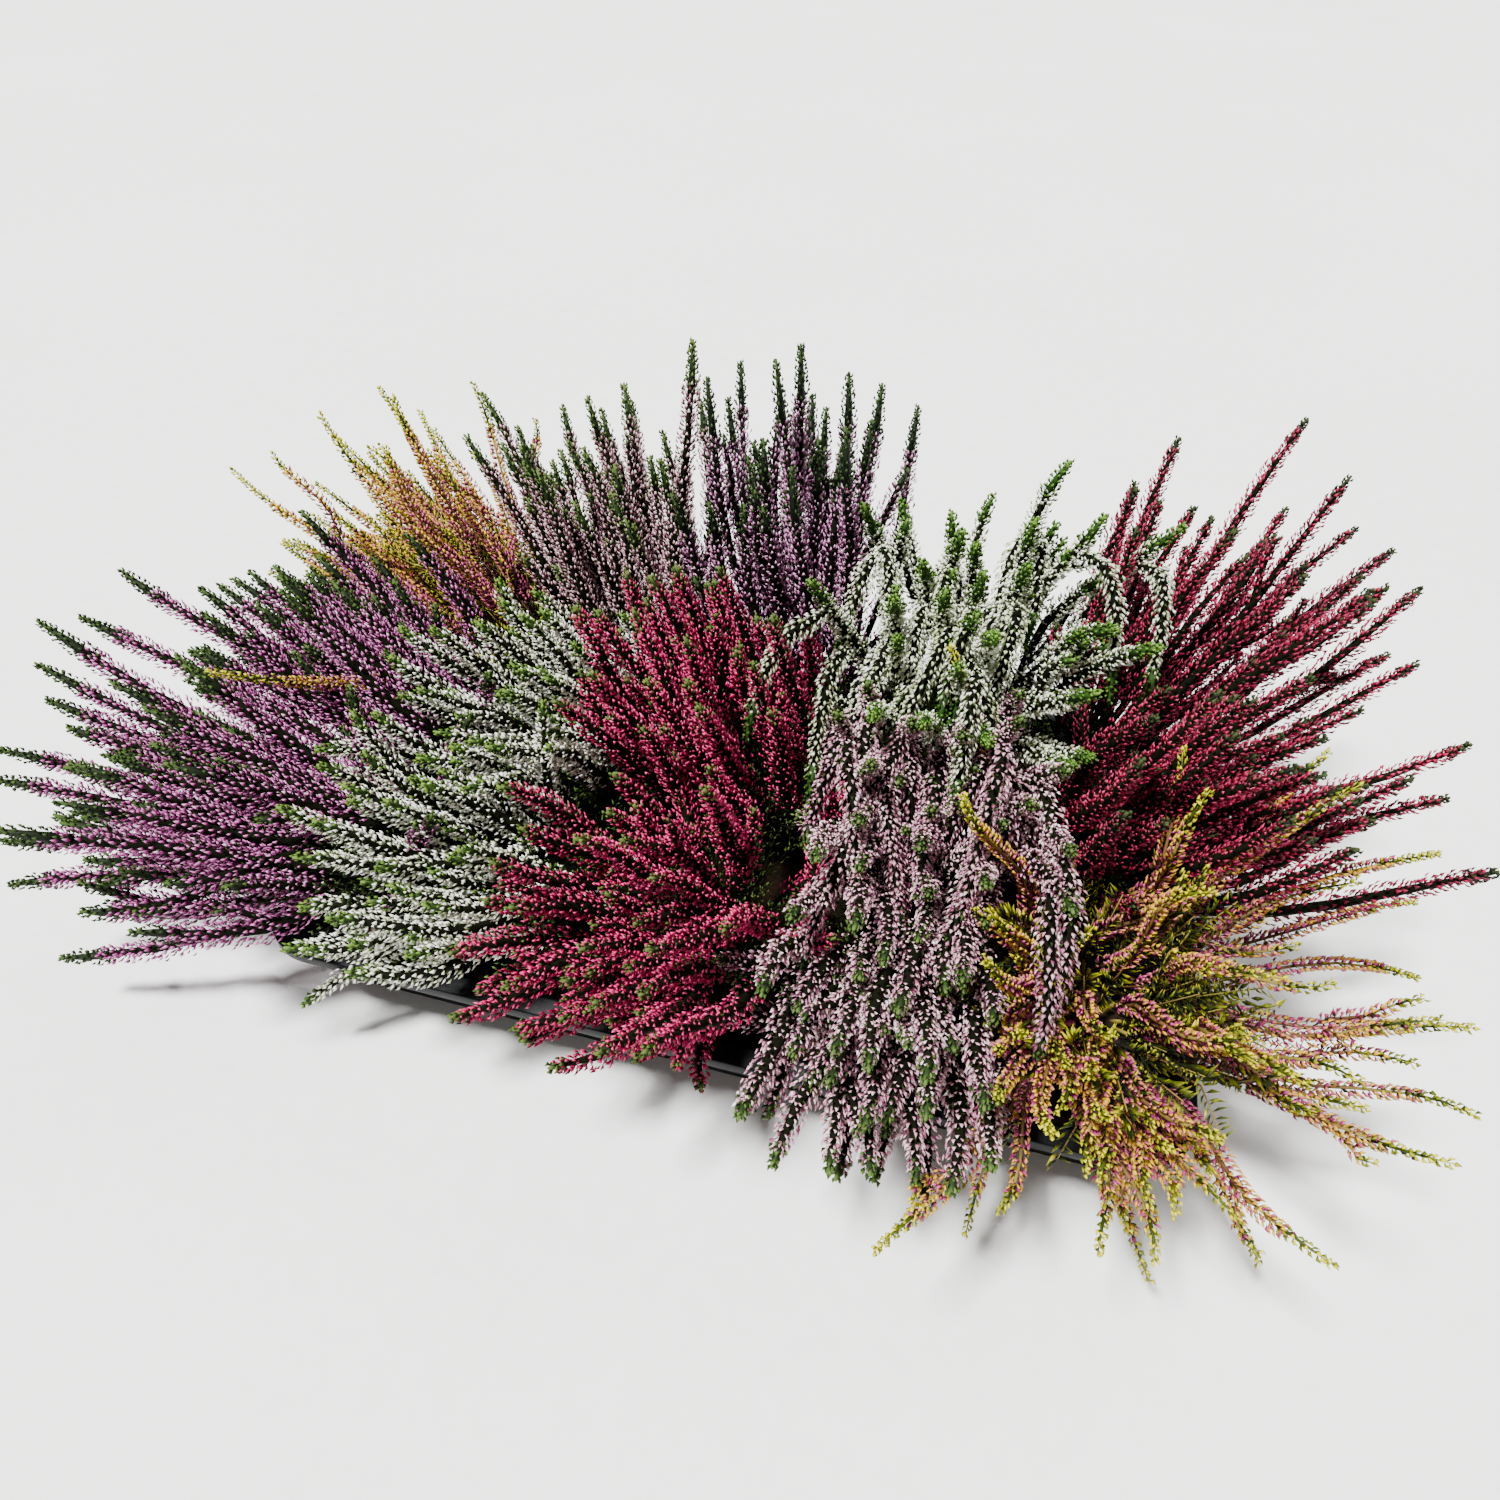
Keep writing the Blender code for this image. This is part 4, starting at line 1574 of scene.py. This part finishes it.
@dataclass
class Heather:
    """One heather: its twigs, its petals and its leaves.

    Attributes:
        bed: the layout.
        plant: which heather it is.
        curves: the curves of its shoots.
        seed_step: how far its seed lies from that of its solid.
        young_size: least and greatest length of a young shoot.
        young_girth: its thickness against the main shoots.
        sprig_size: least and greatest length of a leafy sprig.
        sprig_girth: its thickness against a full shoot.
        leafy_gap: least and greatest distance between the neighbours of a leafy shoot.
        inside: how deep shoots start in the core, as a share of its size.
        girth_spread: least and greatest thickness of the main shoots against the variety's.
        tone_spread: how far their tone varies.
        crown_tone_spread: how far the tone of young shoots, sprigs and twigs varies.
        stray_girth: thickness of a stray shoot against the variety's.
        stray_wave: how far it waves from side to side.
    """

    bed: Bed
    plant: Plant
    curves: Array
    seed_step: int = 100
    young_size: Range = (0.055, 0.090)
    young_girth: float = 0.85
    sprig_size: Range = (0.034, 0.066)
    sprig_girth: float = 0.80
    leafy_gap: Range = (0.010, 0.060)
    inside: float = 0.60
    girth_spread: Range = (0.90, 1.10)
    tone_spread: float = 0.08
    crown_tone_spread: float = 0.1
    stray_girth: float = 0.95
    stray_wave: float = 0.002

    def __post_init__(self) -> None:
        """Set out the shoots and the sprigs."""
        variety, count = self.plant.variety, self.curves.shape[1]
        self.middle = self.bed.core_middle(self.plant)
        self.rng = np.random.default_rng(self.plant.seed + self.seed_step)
        girth = self.rng.uniform(*self.girth_spread, count) * variety.girth
        tone = self.rng.normal(0, self.tone_spread, count)
        self.main = Shoots(self.curves, girth, tone, variety.wave)
        self.fill = self.main.between(self.rng, variety.short_shoots)
        self.side = self.main.forked(self.rng, variety.side_shoots)
        young_girth = self.young_girth * variety.girth
        self.young = self.round_crown(variety.young_shoots, self.young_size, young_girth)
        self.hanging = self.main.weeping(self.rng, variety.hanging_shoots if self.plant.row else 0)
        leafy = (variety.leafy_shoots, self.leafy_gap, variety.leafy_size)
        self.leafy = self.main.between(self.rng, *leafy)
        self.stray = self.straying()
        self.sprigs = self.round_crown(variety.sprigs, self.sprig_size, self.sprig_girth)

    @property
    def flowering(self) -> tuple[Shoots, ...]:
        """The groups of shoots that carry buds."""
        groups = (self.main, self.fill, self.side, self.young, self.hanging, self.stray)
        return tuple(group for group in groups if len(group.girth))

    def straying(self) -> Shoots:
        """Return this plant's stray shoots, each from the core towards its bend and its tip.

        Returns:
            The shoots, or none where the plant has no stray ones.
        """
        ways = np.array(STRAYS.get(self.plant.node, ()), float).reshape(-1, 2, 3)
        bend, tip = ways.transpose(1, 0, 2)
        start = self.middle + unit(bend - self.middle) * self.bed.core_size * self.inside
        girth = np.full(len(ways), self.stray_girth * self.plant.variety.girth)
        return Shoots(np.stack([start, bend, tip]), girth, np.zeros(len(ways)), self.stray_wave)

    def round_crown(
        self,
        count: int,
        size: Range,
        girth: float,
        depth: float = 1.25,
        stray: float = 0.12,
        flatness: float = 0.6,
        lean: float = 0.55,
        bend_at: float = 0.5,
        rise: float = 0.25,
    ) -> Shoots:
        """Return short shoots that stand out of the core all round.

        Their directions are spread over the upper part of a sphere in a golden spiral, each
        leans the way that the plant does, and curves a little upwards from the core's surface.

        Args:
            count: how many are wanted.
            size: least and greatest length.
            girth: their thickness against a full shoot.
            depth: how far down the sphere they go, in radii.
            stray: how far a direction strays from the spiral.
            flatness: how much of a direction's rise the shoot keeps.
            lean: how much of the plant's lean it takes.
            bend_at: place of the bend on the way, as a share of the length.
            rise: how much higher the tip lies than the way leads, as a share of the length.

        Returns:
            The shoots.
        """
        order = np.arange(count) + 0.5
        height = 1 - depth * order / count
        heading = order * GOLDEN_TURN
        ring = np.sqrt(np.clip(1 - height**2, 0, 1))
        facing = np.column_stack((ring * np.cos(heading), ring * np.sin(heading), height))
        facing = unit(facing + self.rng.normal(0, stray, facing.shape))
        start = self.middle + facing * self.bed.core_size * self.inside
        length = self.rng.uniform(*size, count)[:, None]
        reach = unit(facing * (1.0, 1.0, flatness) + lean * self.bed.core_axis(self.plant))
        bend = start + reach * length * bend_at
        tip = start + reach * length + np.array((0.0, 0.0, rise)) * length
        tone = self.rng.normal(0, self.crown_tone_spread, count)
        return Shoots(np.stack([start, bend, tip]), np.full(count, girth), tone)

    def crown(self, neck_height: float = 0.010, bend: Point = (0.35, 0.35, 0.75)) -> Shoots:
        """Return the woody twigs that run from the stem to the foot of each shoot.

        Args:
            neck_height: height above the compost at which they leave the stem.
            bend: how far along each axis their bends lie between stem and shoot.

        Returns:
            The twigs.
        """
        starts = np.concatenate([self.main.curves[0], self.fill.curves[0]])
        fall = self.bed.core_above_rim + self.bed.compost_below_rim - neck_height
        necks = np.tile(self.middle - (0.0, 0.0, fall), (len(starts), 1))
        bends = necks + (starts - necks) * bend
        tone = self.rng.normal(0, self.crown_tone_spread, len(starts))
        return Shoots(np.stack([necks, bends, starts]), np.ones(len(starts)), tone)

    def stem(self, heights: Point = (-0.006, 0.008, 0.022)) -> Shoots:
        """Return the woody stem.

        Args:
            heights: heights of its start, bend and tip above the compost.

        Returns:
            One short shoot.
        """
        ground = self.bed.rim_height - self.bed.compost_below_rim
        curve = np.array([(*self.bed.cell_centre(self.plant), ground + height) for height in heights])
        return Shoots(curve[:, None], np.ones(1), np.zeros(1))

    def core(
        self,
        rings: int = 9,
        sides: int = 18,
        size: float = 0.66,
        ripple: float = 0.08,
        pole: float = 0.12,
        shade: float = 0.02,
        ends: Range = (0.02, 0.30),
    ) -> Surface:
        """Return the dense middle of the plant, a rumpled ellipsoid coloured near-black:
        painted shade for the deep inside of the bush.

        A point is the core's middle plus its half size times a unit vector, times the size and
        a ripple of the heading and the height.

        Args:
            rings: rings between its poles.
            sides: corners of each ring.
            size: its size against the solid's core.
            ripple: depth of the ripple, as a share.
            pole: radians from each pole to the first ring.
            shade: its shade, the darkest, which paints the core as shade.
            ends: the second number of its shade map at the first and the last ring.

        Returns:
            One surface.
        """
        tilt = np.linspace(pole, math.pi - pole, rings)[::-1][:, None]
        heading = circle(sides)[None]
        across, up = np.sin(tilt), np.cos(tilt) + 0 * heading
        facing = np.stack([across * np.cos(heading), across * np.sin(heading), up], -1)
        share = size + ripple * np.sin(5 * heading + self.plant.seed) * np.cos(4 * tilt)
        rows = self.middle + facing * self.bed.core_size * share[..., None]
        shades = np.full((1, rings, sides, 2), shade)
        shades[..., 1] = np.linspace(*ends, rings)[:, None]
        return Surface.grid(rows[None], shades)

    def petals(self) -> list[Surface]:
        """Return the flowers.

        Returns:
            The buds of each group of shoots.
        """
        return [
            group.dressed(whorls, self.rng)
            for group in self.flowering
            for whorls in self.plant.variety.buds(hanging=group is self.hanging)
        ]

    def leaves(self) -> list[Surface]:
        """Return the leaves.

        Returns:
            The scales among the buds, the leafy shoots and the bodies of the leafy tips.
        """
        variety = self.plant.variety
        made = [group.dressed(w, self.rng) for group in self.flowering for w in variety.scales()]
        made += [group.dressed(variety.foliage(), self.rng) for group in (self.sprigs, self.leafy)]
        stretch, tone = (variety.flowers_to - 0.03, 0.995), variety.tip_tone
        return made + [g.cores(variety.tip_core, stretch, rings=3, tone=tone) for g in self.flowering]

    def twigs(self) -> list[Surface]:
        """Return what carries the flowers and the leaves.

        Returns:
            The shoots' stalks, the core, and the woody twigs and stem.
        """
        variety, whole, nearly = self.plant.variety, (0.0, 1.0), (0.0, 0.95)
        stretch = (0.03, variety.flowers_to)
        # The stalks and the core are near-black, partly painted shade between the buds and deep in the
        # plant.
        made = [group.cores(variety.stalk, stretch, rings=6) for group in self.flowering]
        return made + [
            self.core(),
            self.leafy.tubes(radii=(0.0012, 0.0005), span=nearly, rings=4),
            self.crown().tubes(radii=(0.0022, 0.0013), span=whole, rings=3),
            self.sprigs.tubes(radii=(0.0010, 0.0004), span=nearly, rings=3),
            self.stem().tubes(radii=(0.0082, 0.0070), span=whole, rings=5, sides=10),
        ]

    def build(self) -> None:
        """Make the three pieces of the heather."""
        variety, node = self.plant.variety, self.plant.node
        petal = GrownFinish(variety.name + "_petals", variety.petals)
        leaf = GrownFinish(variety.name + "_leaves", variety.leaves, smooth=0.5, rough=0.7, shine=0.18)
        for kind, surfaces, finish in (
            ("petals", self.petals(), petal),
            ("leaves", self.leaves(), leaf),
            ("twigs", self.twigs(), variety.bark),
        ):
            Surface.joined(surfaces).piece(f"{node}_{kind}", finish.material(), variety.name, node)


SLATE = GrainFinish(
    "slate_black_plastic", "020305", "06080B", 900.0, (0.38, 0.50), 0.00010, shine=0.08
)
PEAT = GrainFinish(
    "peat_compost", "070503", "1C130C", 420.0, (0.90, 1.0), 0.0012, 60.0, shine=0.04
)
PALE_FLOOR = GrainFinish("pale_floor", "F0F0EE", "F8F8F6", 60.0, (0.75, 0.85), 0.0, 2.0)


@dataclass
class Planter:
    """The long planter: tapered walls, a sloped flange round the rim and its turned-down lip.

    Attributes:
        length: length over the rim.
        width: width over the rim.
        height: height of the rim.
        corner_radius: radius of the rim's corners.
        smallest_corner_radius: least radius of the corners further in.
        corner_steps: stretches that a corner is drawn with.
        wall: thickness of the plastic.
        flange: width of the flange.
        flange_drop: how much lower its outer edge lies.
        lip: height of the lip.
        taper: how far the walls draw in down to the base.
        rounding: radius of the small edges.
        rounding_points: points of the small curve at each of them.
        middle_share: inset of a point towards the base's middle, as a share of the length.
    """

    length: float = 0.560
    width: float = 0.340
    height: float = 0.075
    corner_radius: float = 0.036
    smallest_corner_radius: float = 0.012
    corner_steps: int = 16
    wall: float = 0.0025
    flange: float = 0.011
    flange_drop: float = 0.003
    lip: float = 0.008
    taper: float = 0.020
    rounding: float = 0.0010
    rounding_points: int = 4
    middle_share: float = 0.25

    def wall_inset(self, z: float) -> float:
        """Return how far the outer wall stands in from the rim's edge at height z."""
        return self.flange + self.taper * (self.height - z) / self.height

    def outline(self, inset: Array, z: Array) -> Array:
        """Return rounded oblongs, one for each inset and height.

        A corner's points are the corner's middle plus its radius times the turning unit
        vector, over a quarter turn for each corner.

        Args:
            inset: how far each oblong lies in from the rim's edge.
            z: its height.

        Returns:
            Points by oblong, place and axis.
        """
        quarter, step = np.meshgrid(np.arange(4), np.linspace(0, 1, self.corner_steps + 1), indexing="ij")
        angle = (math.pi / 2 * (quarter + step)).ravel()
        x_side = np.where(np.isin(quarter, (0, 3)), 1, -1).ravel()
        y_side = np.where(np.isin(quarter, (0, 1)), 1, -1).ravel()
        inset, z = np.asarray(inset)[:, None], np.asarray(z)[:, None]
        radius = np.maximum(self.corner_radius - inset, self.smallest_corner_radius)
        x = x_side * (self.length / 2 - inset - radius) + radius * np.cos(angle)
        y = y_side * (self.width / 2 - inset - radius) + radius * np.sin(angle)
        return np.stack([x, y, z + 0 * x], -1)

    def profile(self) -> tuple[Array, Array]:
        """Return the wall's section as insets and heights, from the base's middle round.

        Each corner of the plain section is replaced by the points of a small quadratic curve.

        Returns:
            The insets and the heights.
        """
        edge = self.height - self.flange_drop
        under = edge - self.wall
        corners = np.array(
            (
                (self.wall_inset(0.0), 0.0),
                (self.wall_inset(under), under),
                (self.wall, under),
                (self.wall, edge - self.lip),
                (0.0, edge - self.lip),
                (0.0, edge),
                (self.flange, self.height),
                (self.wall_inset(edge) + self.wall, edge),
                (self.wall_inset(self.wall) + self.wall, self.wall),
            )
        )
        before, after = np.roll(corners, 1, axis=0), np.roll(corners, -1, axis=0)
        before[0] = (self.length * self.middle_share, 0.0)
        after[-1] = (self.length * self.middle_share, self.wall)
        share = np.linspace(0, 1, self.rounding_points)[:, None, None]
        enter = corners + unit(before - corners) * self.rounding
        leave = corners + unit(after - corners) * self.rounding
        rounded = quadratic(enter, corners, leave, share)
        inset, z = rounded.transpose(1, 0, 2).reshape(-1, 2).T
        return inset, z

    def build(self) -> None:
        """Make the planter's piece."""
        rows = self.outline(*self.profile())[None]
        shades = np.zeros((*rows.shape[:3], 2))
        shades[..., 0] = np.linspace(0, 1, rows.shape[2])
        shades[..., 1] = np.linspace(0, 1, rows.shape[1])[:, None]
        Surface.grid(rows, shades).piece("planter_body", SLATE.material(), "planter", "planter")


@dataclass
class Compost:
    """The compost: a slab with a crumbly top and loose crumbs on it.

    Attributes:
        planter: the planter that it fills.
        below_rim: how far its top lies below the rim.
        gap: clearance to the planter.
        ripple: half the height of the waves on its top.
        shoulder: how far below its top the side ends.
        top_rings: rings over its top.
        top_span: shares of the way to the middle where the first and the last of them lie.
        ridge: length of the line in the middle that they close on, as a share of the edge's.
        waves: how fast the waves run along x and y, in radians to a metre.
        bends: how fast the bends of each of them run along the other axis.
        bend_sizes: how far they bend, in radians.
        crumbs: number of loose crumbs.
        crumb_margin: how far they keep off the rim's edge.
        crumb_size: least and greatest length of a crumb.
        crumb_width: its width against its length.
        crumb_depth: how deep its foot lies in the top.
        seed: seed of the crumbs.
    """

    planter: Planter
    below_rim: float = 0.007
    gap: float = 0.0004
    ripple: float = 0.0012
    shoulder: float = 0.002
    top_rings: int = 20
    top_span: Range = (0.02, 0.99)
    ridge: float = 0.45
    waves: Range = (190.0, 230.0)
    bends: Range = (150.0, 170.0)
    bend_sizes: Range = (3.0, 2.0)
    crumbs: int = 320
    crumb_margin: float = 0.020
    crumb_size: Range = (0.0015, 0.0045)
    crumb_width: float = 0.9
    crumb_depth: float = 0.001
    seed: int = 4

    def slab(self) -> Surface:
        """Return the slab: rings that run up its side and in over its top.

        The top's height is the level less the ripple, plus the ripple times the product of two
        sines, one of x bent by y and one of y bent by x.

        Returns:
            One surface.
        """
        top = self.planter.height - self.below_rim
        bottom = self.planter.wall + self.gap
        heights = np.array((bottom, (bottom + top) / 2, top - self.shoulder))
        inset = np.array([self.planter.wall_inset(z) for z in heights]) + self.planter.wall + self.gap
        side = self.planter.outline(inset, heights)
        share = np.linspace(*self.top_span, self.top_rings)[:, None, None]
        edge = side[-1]
        middle = np.stack([edge[:, 0] * self.ridge, np.zeros(len(edge)), edge[:, 2]], -1)
        over = edge * (1 - share) + middle * share
        ways = (over[..., 0], over[..., 1])
        bends = [size * np.sin(b * way) for size, b, way in zip(self.bend_sizes, self.bends, ways[::-1])]
        first, second = (np.sin(w * way + bend) for w, way, bend in zip(self.waves, ways, bends))
        over[..., 2] = top - self.ripple + self.ripple * (first * second)
        rows = np.concatenate([side, over])[None]
        return Surface.grid(rows, np.zeros((*rows.shape[:3], 2)))

    def loose(self) -> Surface:
        """Return loose crumbs scattered over the top, each aimed and sized at random.

        Returns:
            The crumbs as one surface.
        """
        rng = np.random.default_rng(self.seed)
        count, planter = self.crumbs, self.planter
        half = np.array((planter.length, planter.width)) / 2 - self.crumb_margin
        place = rng.uniform(-1, 1, (count, 2)) * half
        level = planter.height - self.below_rim - self.crumb_depth
        foot = np.column_stack((place, np.full(count, level)))
        aim = unit(rng.normal(0, 1, (count, 3)) * (1, 1, 0.4) + (0, 0, 0.3))
        across = unit(np.cross(aim, rng.normal(0, 1, (count, 3))))
        size = rng.uniform(*self.crumb_size, count)
        shade = rng.uniform(0, 1, count)
        return Crumb().stamped(Spots(foot, aim, across, size, size * self.crumb_width, shade))

    def build(self) -> None:
        """Make the compost's piece."""
        whole = Surface.joined([self.slab(), self.loose()])
        whole.piece("compost_bed", PEAT.material(), "compost", "compost")


@dataclass
class Studio:
    """The pale floor, the soft lights and the camera.

    Attributes:
        azimuth: degrees that the camera stands to the right of the front.
        elevation: degrees that it looks down.
        place: where the camera stands.
        lens: its focal length in millimetres.
        film: width of its film in millimetres.
        clip: nearest and furthest distance that it sees.
        floor_half: half the length of the floor's sides.
        floor_depth: thickness of the floor.
        sky: colour of the light from all round.
        sky_strength: its strength.
        lamps: name of each lamp, the direction that its light comes from, how wide the lamp
            looks in degrees, and its power in watts for each square metre.
    """

    azimuth: float = 15.5
    elevation: float = 45.0
    place: Point = (0.12, -0.46, 0.625)
    lens: float = 26.0
    film: float = 36.0
    clip: Range = (0.01, 50.0)
    floor_half: float = 6.0
    floor_depth: float = 0.02
    sky: Color = (1.0, 0.985, 0.96, 1.0)
    sky_strength: float = 0.27
    lamps: tuple[tuple[str, Point, float, float], ...] = (
        ("key", (-0.6, -0.5, 1.9), 9.0, 11.0),
        ("back", (0.7, 1.1, 1.6), 30.0, 1.0),
    )

    @staticmethod
    def placed(data: bpy.types.ID, place: Point, turn: Quaternion) -> bpy.types.Object:
        """Return a new object that holds a camera or a light.

        Args:
            data: the camera or the light.
            place: where it stands.
            turn: how it is turned.

        Returns:
            The object, with the name of what it holds.
        """
        obj = bpy.data.objects.new(data.name, data)
        obj.location = place
        obj.rotation_mode = "QUATERNION"
        obj.rotation_quaternion = turn
        bpy.context.scene.collection.objects.link(obj)
        return obj

    def camera(self) -> None:
        """Place the camera at the photograph's angle."""
        a, e = math.radians(self.azimuth), math.radians(self.elevation)
        back = Vector((math.sin(a) * math.cos(e), -math.cos(a) * math.cos(e), math.sin(e)))
        data = bpy.data.cameras.new("camera")
        data.lens = self.lens
        data.sensor_width = self.film
        data.clip_start, data.clip_end = self.clip
        turn = (-back).to_track_quat("-Z", "Y")
        bpy.context.scene.camera = self.placed(data, self.place, turn)

    def floor(self) -> None:
        """Make the floor, a square slab whose top is at height 0."""
        corners = np.array(((-1, -1), (1, -1), (1, 1), (-1, 1))) * self.floor_half
        heights = (-self.floor_depth, 0.0)
        rows = np.array([[np.column_stack((corners, np.full(4, z))) for z in heights]])
        obj = Surface.grid(rows, np.zeros((1, 2, 4, 2))).piece("floor", PALE_FLOOR.material(), None)
        obj.data.shade_flat()

    def build(self) -> None:
        """Make the floor, the lights and the camera."""
        self.floor()
        world = bpy.data.worlds.new("studio")
        world.use_nodes = True
        background = world.node_tree.nodes["Background"]
        background.inputs["Color"].default_value = self.sky
        background.inputs["Strength"].default_value = self.sky_strength
        bpy.context.scene.world = world
        for name, place, softness, power in self.lamps:
            data = bpy.data.lights.new(name, "SUN")
            data.angle = math.radians(softness)
            data.energy = power
            self.placed(data, place, Vector(place).to_track_quat("Z", "Y"))
        self.camera()


def main() -> None:
    """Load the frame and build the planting."""
    logging.basicConfig(level=logging.INFO, format="%(name)s %(message)s")
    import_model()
    Studio().build()
    planter = Planter()
    planter.build()
    Compost(planter).build()
    bed = Bed()
    for plant, curves in zip(PLANTS, bed.all_shoots()):
        Heather(bed, plant, curves).build()
    bpy.context.view_layer.update()


if __name__ == "__main__":
    main()
